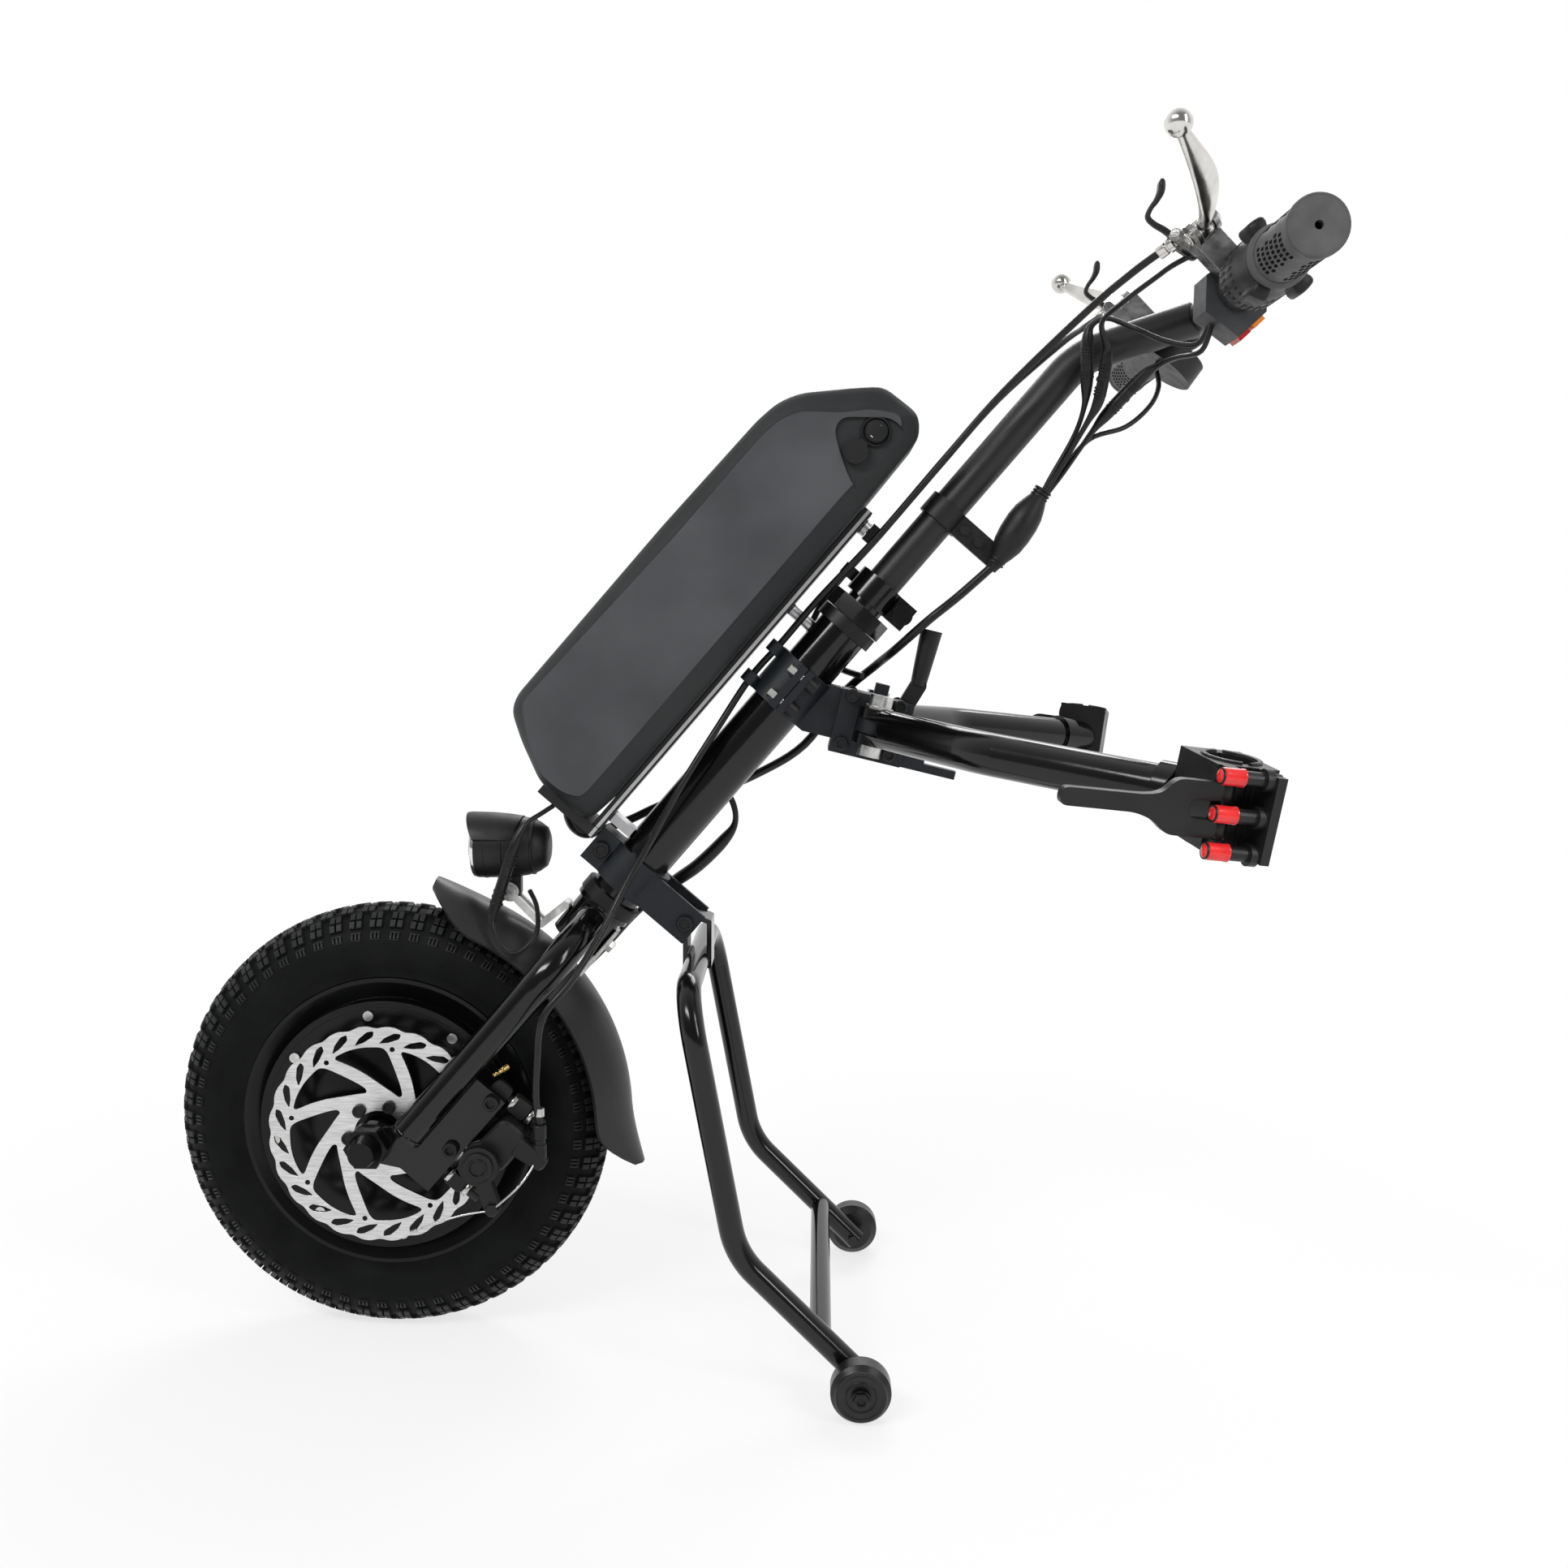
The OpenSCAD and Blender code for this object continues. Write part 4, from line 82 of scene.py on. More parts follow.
# Camera at the photograph's viewing angle
IMAGE_SIDE, FOCAL, SENSOR = 1932, 1920.97, 36
CAMERA_AT = (0.09203, -1.13836, 0.53728)
yaw, pitch, roll = (radians(a) for a in (-1.231, 6.206, -0.529))
ahead = Vector((sin(yaw) * cos(pitch), cos(yaw) * cos(pitch), -sin(pitch)))
level = Vector((cos(yaw), -sin(yaw), 0))
down = ahead.cross(level)
right = level * cos(roll) + down * sin(roll)
down = down * cos(roll) - level * sin(roll)
cam = bpy.data.objects.new("camera", bpy.data.cameras.new("camera"))
LINK(cam)
turned = Matrix((right, -down, -ahead)).transposed()
cam.matrix_world = Matrix.Translation(CAMERA_AT) @ turned.to_4x4()
cam.data.sensor_width = SENSOR
cam.data.lens = FOCAL / IMAGE_SIDE * SENSOR
cam.data.clip_start = 0.05
bpy.context.scene.camera = cam

# Materials
NOISE_SPAN = (0.3, 0.7)
PLASTIC_IOR = 1.45
# Colour sockets of a Mix node
MIX_A, MIX_B, MIX_RESULT = 6, 7, 2


def feed(tree, socket, value):
    """Sets an input to a value, or links it to another node's output."""
    if isinstance(value, bpy.types.NodeSocket):
        tree.links.new(value, socket)
    else:
        socket.default_value = value


def new_node(tree, kind, inputs=None, **settings):
    """A shader node with its settings and its inputs."""
    n = tree.nodes.new("ShaderNode" + kind)
    for key, value in settings.items():
        setattr(n, key, value)
    for key, value in (inputs or {}).items():
        feed(tree, n.inputs[key], value)
    return n


def blank(name):
    m = bpy.data.materials.new(name)
    m.use_nodes = True
    return m, m.node_tree


def shade(tree, look):
    """Feeds the inputs of a material's own shader."""
    for key, value in look.items():
        feed(tree, tree.nodes["Principled BSDF"].inputs[key], value)


def noise(tree, scale, detail=3, stretch=None, turn=(0, 0, 0)):
    at = new_node(tree, "TexCoord").outputs["Object"]
    if stretch:
        at = new_node(tree, "Mapping", {"Vector": at, "Scale": stretch, "Rotation": turn}).outputs["Vector"]
    return new_node(tree, "TexNoise", {"Vector": at, "Scale": scale, "Detail": detail}).outputs["Fac"]


def ramp(tree, fac, one, two):
    """Two colours over the middle of a noise."""
    r = new_node(tree, "ValToRGB", {"Fac": fac})
    for stop, at, colour in zip(r.color_ramp.elements, NOISE_SPAN, (one, two)):
        stop.position, stop.color = at, (*colour, 1)
    return r.outputs["Color"]


def spread(tree, fac, low, high):
    """Two values over the middle of a noise."""
    span = {"From Min": NOISE_SPAN[0], "From Max": NOISE_SPAN[1], "To Min": low, "To Max": high}
    return new_node(tree, "MapRange", {"Value": fac, **span}).outputs["Result"]


def material(name, one, two, rough, metal=0, scale=40, bump=0.1, grain=900, depth=0.0003, edge=0.0006, spec=0.5,
             coat=0, **grained):
    """Paint, plastic or metal: two colours and a range of roughness over noise, with a fine relief."""
    m, tree = blank(name)
    relief = {"Height": noise(tree, grain, 2, **grained), "Strength": bump, "Distance": depth}
    if edge:
        relief["Normal"] = new_node(tree, "Bevel", {"Radius": edge}, samples=4).outputs["Normal"]
    shade(tree, {
        "Metallic": metal, "Specular IOR Level": spec, "IOR": PLASTIC_IOR,
        "Coat Weight": coat, "Coat Roughness": 0.08,
        "Base Color": ramp(tree, noise(tree, scale, 4, **grained), one, two),
        "Roughness": spread(tree, noise(tree, scale * 1.7, **grained), *rough),
        "Normal": new_node(tree, "Bump", relief).outputs["Normal"]})
    return m


def tint(c):
    """A colour, or a grey with its own blue."""
    return c if len(c) == 3 else (c[0], *c)


# Each has a name, two colours, a range of roughness, and what departs from the usual values
LOOKS = {
    "gloss": ("gloss_black", (0.0016, 0.0018), (0.0036, 0.004), (0.1, 0.2), dict(scale=9, bump=0.06, grain=260)),
    "satin": ("satin_black", (0.004, 0.0045), (0.008, 0.0085), (0.38, 0.5),
        dict(scale=14, bump=0.12, grain=1600, spec=0.4)),
    "stem": ("stem_black", (0.006, 0.0065), (0.011, 0.0115), (0.36, 0.46), dict(scale=10, bump=0.25, grain=2200)),
    "hitch": ("hitch_blue_black", (0.006, 0.008, 0.011), (0.011, 0.014, 0.018), (0.4, 0.52),
        dict(scale=25, bump=0.3, grain=2400, spec=0.4)),
    "clamp": ("clamp_anodised", (0.0045, 0.005), (0.009, 0.0095), (0.32, 0.45),
        dict(scale=30, bump=0.15, grain=2000, spec=0.45)),
    "steel": ("zinc_steel", (0.5, 0.49), (0.68, 0.67), (0.22, 0.38),
        dict(metal=1, scale=160, grain=1800, edge=0.0004)),
    "rotor": ("rotor_steel", (0.55, 0.55), (0.8, 0.8), (0.26, 0.4),
        dict(metal=1, scale=60, bump=0.25, grain=300, depth=0.0001, edge=0.0003, stretch=(1.2, 1, 14),
            turn=(0, 0.45, 0))),
    "polish": ("polished_alloy", (0.62, 0.6, 0.57), (0.8, 0.79, 0.77), (0.12, 0.24),
        dict(metal=1, scale=60, bump=0.08, grain=700)),
    "bracket": ("bracket_alloy", (0.24, 0.24), (0.44, 0.44), (0.2, 0.34), dict(metal=1, scale=90, bump=0.12)),
    "rubber": ("tyre_rubber", (0.0028, 0.003, 0.0034), (0.006, 0.0064, 0.007), (0.55, 0.72),
        dict(scale=30, bump=0.35, grain=1500, spec=0.14, edge=0)),
    "tread": ("tread_rubber", (0.006, 0.0063, 0.0072), (0.013, 0.0136, 0.015), (0.42, 0.58),
        dict(scale=45, bump=0.4, grain=1300, spec=0.34, edge=0.0003)),
    # Near-black dead-matte pads for the grip slots: painted shade of the slots' hollows
    "slot": ("slot_painted_shade", (0.0015, 0.0015), (0.003, 0.003), (0.75, 0.9), dict(scale=60, spec=0.08, edge=0)),
    "cable": ("cable_jacket", (0.003, 0.0033), (0.007, 0.0075), (0.3, 0.42),
        dict(scale=60, grain=2500, spec=0.45, edge=0)),
    "grip": ("grip_rubber", (0.066, 0.068), (0.096, 0.098), (0.55, 0.7),
        dict(scale=70, bump=0.35, grain=2200, spec=0.35)),
    "plastic": ("black_plastic", (0.005, 0.0053), (0.01, 0.0105), (0.38, 0.52),
        dict(scale=50, bump=0.25, grain=2600, spec=0.4)),
    "guard": ("guard_plastic", (0.012, 0.0123), (0.02, 0.0204), (0.36, 0.46),
        dict(scale=12, bump=0.15, grain=1400, spec=0.42, edge=0)),
    "case": ("case_plastic", (0.01, 0.011, 0.012), (0.017, 0.018, 0.019), (0.44, 0.58),
        dict(scale=12, bump=0.5, grain=3000, spec=0.42, edge=0.0015)),
    "panel": ("case_panel", (0.026, 0.029, 0.032), (0.066, 0.07, 0.075), (0.34, 0.46),
        dict(scale=9, bump=0.2, grain=3200, spec=0.45, edge=0.001)),
    "box": ("switch_grey", (0.02, 0.021, 0.023), (0.034, 0.035, 0.038), (0.42, 0.55),
        dict(scale=60, bump=0.4, grain=2600)),
    "cell": ("cell_wrap", (0.02, 0.12, 0.3), (0.03, 0.16, 0.4), (0.2, 0.3), {}),
    "copper": ("winding", (0.4, 0.17, 0.06), (0.55, 0.25, 0.1), (0.25, 0.4), dict(metal=1, scale=300)),
    "orange": ("orange_key", (0.8, 0.2, 0.015), (0.9, 0.27, 0.03), (0.25, 0.38), dict(scale=90)),
    "red": ("red_key", (0.42, 0.012, 0.012), (0.55, 0.02, 0.018), (0.25, 0.38), dict(scale=90)),
    "vinyl": ("red_vinyl", (0.62, 0.015, 0.018), (0.78, 0.025, 0.026), (0.18, 0.3),
        dict(scale=120, coat=0.3, edge=0)),
    "brass": ("brass", (0.5, 0.33, 0.12), (0.65, 0.45, 0.18), (0.2, 0.32), dict(metal=1, scale=200)),
    "white": ("white_mark", (0.75, 0.75), (0.85, 0.85), (0.4, 0.5), dict(scale=200, edge=0)),
    "wheel": ("wheel_black", (0.0016, 0.0017, 0.0018), (0.0036, 0.0038, 0.004), (0.18, 0.3),
        dict(scale=16, bump=0.06, grain=1500, spec=0.28)),
    "reflector": ("lamp_reflector", (0.75, 0.74), (0.85, 0.84), (0.1, 0.2), dict(metal=1, scale=80)),
    "caster": ("caster_rubber", (0.006, 0.0065), (0.012, 0.0125), (0.28, 0.4),
        dict(scale=50, bump=0.2, grain=1500, spec=0.45)),
}
M = {key: material(name, tint(one), tint(two), rough, **more) for key, (name, one, two, rough, more) in LOOKS.items()}


def glass(name):
    m, tree = blank(name)
    shade(tree, {
        "Transmission Weight": 1.0, "IOR": PLASTIC_IOR,
        "Roughness": spread(tree, noise(tree, 150), 0.03, 0.09),
        "Base Color": ramp(tree, noise(tree, 60), (0.93, 0.95, 0.96), (0.97, 0.98, 0.98))})
    return m


def banded(name, dark, bright, span, stops):
    """Black paint with bare metal where the place across the column falls in a band."""
    m = material(name, *dark, (0.32, 0.45), scale=20, bump=0.12, grain=1500)
    tree = m.node_tree
    place = new_node(tree, "TexCoord").outputs["Object"]
    dot = new_node(tree, "VectorMath", {0: place, 1: tuple(N_DIR)}, operation="DOT_PRODUCT")
    low, high = (float(AXIS @ N_DIR) + at for at in span)
    share = new_node(tree, "MapRange", {"Value": dot.outputs["Value"], "From Min": low, "From Max": high})
    pick = new_node(tree, "ValToRGB", {"Fac": share.outputs["Result"]})
    bands = pick.color_ramp
    bands.interpolation = "CONSTANT"
    bands.elements[0].color = (0, 0, 0, 1)
    bands.elements[1].position, bands.elements[1].color = stops[0], (1, 1, 1, 1)
    for k, at in enumerate(stops[1:]):
        bands.elements.new(at).color = (k % 2, k % 2, k % 2, 1)
    paint = tree.nodes["Principled BSDF"].inputs["Base Color"].links[0].from_socket
    mix = new_node(tree, "Mix", data_type="RGBA")
    metal = ramp(tree, noise(tree, 60), *bright)
    for key, value in (("Factor", pick.outputs["Color"]), (MIX_A, paint), (MIX_B, metal)):
        feed(tree, mix.inputs[key], value)
    shade(tree, {"Base Color": mix.outputs[MIX_RESULT], "Metallic": pick.outputs["Color"]})
    return m


M["glass"] = glass("lens_glass")
RAIL_PAINT = (tint((0.004, 0.0045)), tint((0.009, 0.0095)))
RAIL_BARE = (tint((0.5, 0.51)), tint((0.66, 0.67)))
M["rail"] = banded("rail_metal", RAIL_PAINT, RAIL_BARE, (-0.0456, -0.0186), (0.11, 0.2, 0.3))

PAINT = {
    "gloss": "head_tube steerer fork_legs dropouts height_clamp quick_lever left_arm right_arm stand_frame",
    "satin": "headset_cups caliper caliper_arm lock_lever",
    "stem": "stem_tube handlebar",
    "hitch": "hitch_bracket hitch_plates stand_bracket",
    "clamp": "left_clamp_block right_clamp_block left_clamp_jaw right_clamp_jaw left_clamp_handle right_clamp_handle",
    "steel": "frame_bolts wheel_screws lamp_bracket",
    "rotor": "brake_disc",
    "wheel": "rim motor_covers axle",
    "rail": "battery_rail",
    "polish": "left_lever right_lever",
    "bracket": "lever_bodies",
    "copper": "stator",
    "rubber": "tyre",
    "cable": "column_cables brake_cable lower_cables cockpit_leads",
    "grip": "grips",
    "plastic": "throttle_sleeve headlight left_park_latch right_park_latch cable_hub display rocker_switch "
               "battery_key charge_cap",
    "guard": "fender",
    "case": "battery_case",
    "box": "switch_box",
    "cell": "battery_cells",
    "orange": "light_button",
    "red": "horn_button",
    "glass": "headlight_lens",
    "caster": "left_caster right_caster",
}
for key, names in PAINT.items():
    for n in names.split():
        NODES[n].data.materials.clear()
        NODES[n].data.materials.append(M[key])

# Moulded and machined edges of the solids: width of the edge and nodes
EDGES = {0.0022: "switch_box", 0.0014: "display", 0.0035: "left_caster right_caster",
    0.0012: "left_clamp_block right_clamp_block lock_lever", 0.0007: "left_clamp_jaw right_clamp_jaw hitch_bracket"}
for size, names in EDGES.items():
    for n in names.split():
        e = NODES[n].modifiers.new("edges", "BEVEL")
        e.width, e.segments, e.limit_method, e.angle_limit = size, 3, "ANGLE", radians(50)


# Mesh helpers
class Mesh:
    """Collects verts and faces of many small forms for one piece."""

    def __init__(self):
        self.v, self.f = [], []

    def add(self, verts, faces):
        k = len(self.v)
        self.v.extend(verts)
        self.f.extend([tuple(i + k for i in f) for f in faces])

    def rings(self, rings, loop=False):
        """Skins rings of points, from the first to the last or right round."""
        m, count = len(rings[0]), len(rings)
        faces = []
        for i in range(count if loop else count - 1):
            a, b = i * m, (i + 1) % count * m
            for k in range(m):
                j = (k + 1) % m
                faces.append((a + k, a + j, b + j, b + k))
        if not loop:
            faces.append(tuple(range(m - 1, -1, -1)))
            faces.append(tuple(range((count - 1) * m, count * m)))
        self.add([p for r in rings for p in r], faces)

    def make(self, name, mat, body=None, slot=None, smooth=40):
        """The finished piece, smooth up to an angle in degrees, riding on its body."""
        me = bpy.data.meshes.new(name)
        me.from_pydata([tuple(float(x) for x in v) for v in self.v], [], self.f)
        me.validate()
        bm = bmesh.new()
        bm.from_mesh(me)
        bmesh.ops.recalc_face_normals(bm, faces=bm.faces)
        bm.to_mesh(me)
        bm.free()
        if smooth:
            soft_edges(me, smooth)
        me.materials.append(M[mat])
        o = bpy.data.objects.new(name, me)
        LINK(o)
        if body:
            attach(o, body)
        return o


def soft_edges(me, angle):
    me.polygons.foreach_set("use_smooth", [True] * len(me.polygons))
    me.set_sharp_from_angle(angle=radians(angle))


def around(count):
    """Angles once round."""
    return [2 * pi * k / count for k in range(count)]


def spoke(a, u, v):
    return cos(a) * u + sin(a) * v


def oval(mid, u, v, power_u, power_v, count=20):
    """A squarish round on two half axes; a lower power is squarer."""
    def swell(value, power):
        return copysign(abs(value) ** power, value)
    return [mid + u * swell(cos(a), power_u) + v * swell(sin(a), power_v) for a in around(count)]


def unit(v):
    return v / np.linalg.norm(v)


def axes(direction):
    d = unit(np.array(direction, float))
    u = unit(np.cross(d, ASIDE))
    return d, u, np.cross(d, u)


def turn(base, direction, profile, sides):
    """A profile of radius and height in millimetres carried round an axis: a row of points for each of its own."""
    d, u, v = axes(direction)
    base = np.array(base, float)
    return [[base + MM * (d * h + r * spoke(a, u, v)) for a in around(sides)] for r, h in profile]


def lathe(mesh, base, direction, profile, sides=24):
    """A turned form with flat ends."""
    mesh.rings(turn(base, direction, profile, sides))


def ring(mesh, base, direction, section, sides=40):
    """A closed section carried round an axis."""
    mesh.rings(list(zip(*turn(base, direction, section, sides))), loop=True)


def socket(mesh, base, direction, r, h, deep=1.2):
    """A socket screw's head."""
    profile = [(r, -0.4), (r, h * 0.85), (r * 0.9, h), (r * 0.62, h), (r * 0.58, h - deep), (r * 0.1, h - deep)]
    lathe(mesh, base, direction, profile)


def smooth_path(points, steps=6):
    """A curve through points of any number of values."""
    p = [np.array(q, float) for q in points]
    out = []
    n = len(p) - 1
    for i in range(n):
        a, b, c, d = p[max(i - 1, 0)], p[i], p[i + 1], p[min(i + 2, n)]
        for t in (k / steps for k in range(steps)):
            bend = (2 * a - 5 * b + 4 * c - d) * t * t + (3 * b - a - 3 * c + d) * t ** 3
            out.append(0.5 * (2 * b + (c - a) * t + bend))
    out.append(p[n])
    return np.array(out)


def tube_rings(path, sides=14):
    """Rings along a path whose fourth value is the radius."""
    pts, rad = path[:, :3], path[:, 3]
    n = len(pts)
    u = ASIDE
    rings = []
    for i in range(n):
        t = unit(pts[min(i + 1, n - 1)] - pts[max(i - 1, 0)])
        u = unit(u - (u @ t) * t)
        v = np.cross(t, u)
        rings.append([pts[i] + rad[i] * spoke(a, u, v) for a in around(sides)])
    return rings


def tube(mesh, points, radius):
    mesh.rings(tube_rings(smooth_path([(*q, radius) for q in points]), 10))


def cable(name, points, cuts, node, steps=6):
    """A held cable in lengths, each riding on one body, or left in place with no body where it runs between two.

    A cut gives its first and last point, its two bodies, and the points where the bend starts and ends.
    """
    path = smooth_path([[c / 1000 for c in q] for q in points], steps)
    rings = tube_rings(path)
    for i, (a, b, one, two, s, e) in enumerate(cuts):
        m = Mesh()
        m.rings(rings[a * steps:b * steps + 1])
        o = m.make(f"{name}_{i + 1}", "cable")
        if two:
            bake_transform(o)
        else:
            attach(o, one)
    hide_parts(node)


def route(radius, *points):
    """Points with their radius, which a point may give as its own fourth value."""
    return [(*p, radius)[:4] for p in points]


def spot(point):
    return np.array(point[:3]) / 1000


# Cables: the routes of the solids, in millimetres
BRAKE = route(2.5, (310.4, -112, 771.4), (292, -98, 759), (267, -70, 739), (218, -36, 692), (178, -24, 646),
    (134, -18, 594), (92, -14, 549), (64, -10, 516), (43, -10, 492), (20, -20, 456), (-4, -29, 417), (-26, -33, 377),
    (-45, -40, 342), (-60, -56, 311), (-77, -78, 283), (-96, -88, 258), (-101, -84, 223), (-103, -77, 196),
    (-101, -75, 178.3))
RELEASE = route(2.5, (310.4, 112, 771.4), (292, 92, 758), (270, 60, 740), (220, 22, 694), (180, 20, 648),
    (136, 31, 596), (98, 34, 552), (84, 35, 520), (96, 30, 505), (110, 20, 497), (124, 6, 493))
CONTROL = route(3.2, (216, -12, 573.5), (192, -14, 552), (170, -16, 534), (148, 2, 513), (134, 24, 500),
    (110, 36, 478), (82, 34, 440), (47, 30, 418), (13, 30, 404), (-23, 30, 394), (-49, 30, 382), (-70, 31, 374),
    (-82, 32, 372, 5.5), (-90, 32, 376, 6), (-94, 32, 383, 6), (-94, 31, 389, 6), (-91, 30, 397, 6))
LAMP = route(1.8, (-119, -8, 333), (-112, -18, 322), (-110, -34, 306), (-121, -42, 294), (-133, -42, 297),
    (-140, -38, 311), (-141, -34, 320, 4), (-133, -31, 347, 4.4), (-126, -31, 369, 4), (-118, -28, 385),
    (-108, -20, 392), (-99.6, -16, 397.5))
MOTOR = route(2.4, (18, 31, 410), (28, 32, 396), (30, 33, 380), (21, 33, 366, 4.6), (2, 33, 347, 5),
    (-16, 34, 334, 4.6), (-28, 42, 324), (-52, 62, 300), (-82, 86, 265), (-122, 88, 228), (-170, 88, 190),
    (-192, 90, 178), (-207, 89, 168), (-219, 82, 162))
THROTTLE = route(1.8, (347, -80, 731), (340, -74, 718), (323, -60, 722), (304, -46, 733), (288, -32, 742),
    (278, -26, 738, 2.4), (276, -24, 726, 4.4), (277, -21, 701, 4.4), (276, -19, 684, 2), (270, -16, 664),
    (255, -14, 636), (248, -13, 622))
BRAKE_LEAD = route(1.8, (331, -113, 769), (316, -104, 762), (308, -92, 757), (292, -70, 746), (282, -46, 737),
    (288, -32, 724, 2.6), (289, -28, 715, 4), (285, -25, 688, 4), (277, -22, 671, 2), (259, -15, 638),
    (250, -13, 622))
DISPLAY = route(1.8, (344, 40, 731), (336, 32, 720), (336, 22, 704), (327, 8, 688), (308, -4, 672), (281, -10, 662),
    (260, -11, 636), (250, -12, 622))
SWITCH = route(1.8, (346, -90, 730), (341, -84, 712), (331, -56, 712), (323, -34, 710, 2.4), (313, -24, 702, 4.4),
    (293, -17, 680, 4.4), (282, -14, 666, 2), (263, -12, 638), (251, -12, 622))
cable("brake_cable_jacket", BRAKE, [(0, 5, "stem", "fork", 1, 5), (5, 8, "fork", "column", 5, 7),
    (8, 18, "column", "fork", 8, 13)], "brake_cable")
cable("release_cable_jacket", RELEASE, [(0, 3, "stem", "fork", 1, 3), (3, 10, "fork", "column", 3, 5)],
    "column_cables")
cable("control_cable_jacket", CONTROL, [(0, 3, "stem", "fork", 0, 3), (3, 16, "fork", "column", 3, 6)],
    "column_cables")
cable("lamp_lead", LAMP, [(0, 3, "lamp", "fork", 0, 2), (3, 11, "fork", "column", 8, 11)], "lower_cables")
cable("motor_lead", MOTOR, [(0, 13, "column", "fork", 5, 8)], "lower_cables")
for name, way in (("throttle_lead", THROTTLE), ("brake_switch_lead", BRAKE_LEAD), ("display_lead", DISPLAY),
                  ("switch_lead", SWITCH)):
    cable(name, way, [(0, len(way) - 1, "stem", None, 0, 0)], "cockpit_leads")


# Tyre with its block tread
CROWN_R, SECTION_R, SHOULDER = 0.132, 0.0262, 0.0024
BEAD = ((0.1022, 0.0206), (0.1075, 0.0212), (0.1092, 0.0226), (0.1108, 0.0222), (0.1165, 0.0257))
PITCHES, BLOCK_LIFT, RIB_LIFT, RIDGE_LIFT = 62, 0.0027, 0.0014, 0.0007
# Blocks of each row and ridges of the shoulder, by their angles round the section
ROWS = (((0.4, 13.6), (15, 28.6)), ((31.2, 44.4), (45.8, 58.8)))
RIB, RIDGES = (66, 77), ((64.5, 66.5), (76.5, 78))


def on_wheel(angle, r, y):
    t = radians(angle)
    return WHEEL + vec(r * cos(t), y, r * sin(t))


def tyre_at(theta, phi, lift=0.0):
    """A point of the tyre: theta round the wheel, phi round the section from the crown, in degrees."""
    r = SECTION_R + SHOULDER * min(max((abs(phi) - 58) / 25, 0), 1) + lift
    p = radians(phi)
    return on_wheel(theta, CROWN_R + r * cos(p), r * sin(p))


def block(mesh, mid, wide, low, high, lift, inset):
    """A tread block with its foot in the tyre, a shoulder and a top."""
    rings = []
    for share, up in ((0, -0.001), (0.35, lift * 0.8), (1, lift)):
        d, e = wide * inset * share, (high - low) * inset * share
        t0, t1, p0, p1 = mid - wide / 2 + d, mid + wide / 2 - d, low + e, high - e
        rings.append([tyre_at(t, p, up) for t, p in ((t0, p0), (t1, p0), (t1, p1), (t0, p1))])
    mesh.rings(rings)


def tyre():
    m = Mesh()
    rings = []
    for th in (k * 2.5 for k in range(144)):
        near, far = ([on_wheel(th, r, sign * y) for r, y in BEAD] for sign in (-1, 1))
        rings.append(near + [tyre_at(th, p) for p in range(-110, 111, 10)] + far[::-1])
    m.rings(rings, loop=True)
    o = m.make("tyre_carcass", "rubber", "wheel", "tyre_rubber", smooth=50)
    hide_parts("tyre")
    b = Mesh()
    pitch = 360 / PITCHES
    for th in (k * pitch for k in range(PITCHES)):
        for s, shifts in ((-1, (0.5, 0)), (1, (0, 0.5))):
            for row, cuts in enumerate(ROWS):
                for j, (lo, hi) in enumerate(cuts):
                    aside, wide = (0.172, 0.3) if j == row else (0.15, 0.27)
                    for half in (-1, 1):
                        mid = th + (shifts[row] + half * aside) * pitch
                        block(b, mid, wide * pitch, *sorted((s * lo, s * hi)), BLOCK_LIFT, 0.1)
        for s in (-1, 1):
            for j in (-1, 0, 1):
                block(b, th + j * pitch * 0.19, pitch * 0.13, *sorted(s * p for p in RIB), RIB_LIFT, 0.15)
            for lo, hi in RIDGES:
                block(b, th, pitch * 0.56, *sorted((s * lo, s * hi)), RIDGE_LIFT, 0.1)
    b.make("tyre_tread", "tread", "wheel", "tyre_rubber", smooth=30)


tyre()


# Mudguard with its turned-out tips, in degrees round the wheel and in metres
GUARD_START, GUARD_SWEEP, GUARD_STEPS = -10.5, 90, 48
GUARD_R, GUARD_WALL, GUARD_HALF, GUARD_DROP, GUARD_LIP = 0.1775, 0.0022, 0.036, 0.021, 0.0016


def mudguard():
    m = Mesh()
    rings = []
    for t in (i / GUARD_STEPS for i in range(GUARD_STEPS + 1)):
        turn = GUARD_SWEEP * t
        flare = 0.0125 * max(0, (14 - turn) / 14) ** 2 + 0.006 * max(0, (turn - 74) / 16) ** 2
        grown = sin(pi / 2 * max(min(t / 0.1, (1 - t) / 0.16, 1.0), 0))
        half = GUARD_HALF * (0.34 + 0.66 * grown ** 0.8)
        drop = GUARD_DROP * (0.25 + 0.75 * grown)
        section = []
        for wall, width, turned_out, ks in ((0, 1, 1, range(17)), (GUARD_WALL, 0.95, 0.8, range(16, -1, -1))):
            for w in (-1 + k / 8 for k in ks):
                lip = copysign(GUARD_LIP * max(0, abs(w) - 0.86) / 0.14, w)
                r = GUARD_R + flare - drop * abs(w) ** 2.4 - wall
                section.append(on_wheel(GUARD_START + turn, r, half * w * width + lip * turned_out))
        rings.append(section)
    m.rings(rings)
    o = m.make("mudguard", "guard", "fork", "black_plastic", smooth=60)
    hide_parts("fender")
    p = Mesh()
    lathe(p, col(0, 0, 0.1745), S_DIR, [(7.2, 0), (7.2, 15.5)])
    strap = ((0.01905, -0.008), (0.02165, -0.008), (0.02165, 0.008), (0.01905, 0.008))
    p.rings([[col(n, y, s) for n, y in strap] for s in (0.172, 0.216)])
    lathe(p, col(0.0217, 0, 0.203), N_DIR, [(4.5, 0), (5, 0.4), (5, 3.6), (4.2, 4.2)], 6)
    p.make("mudguard_stay", "steel", "fork", "steel", smooth=30)


mudguard()


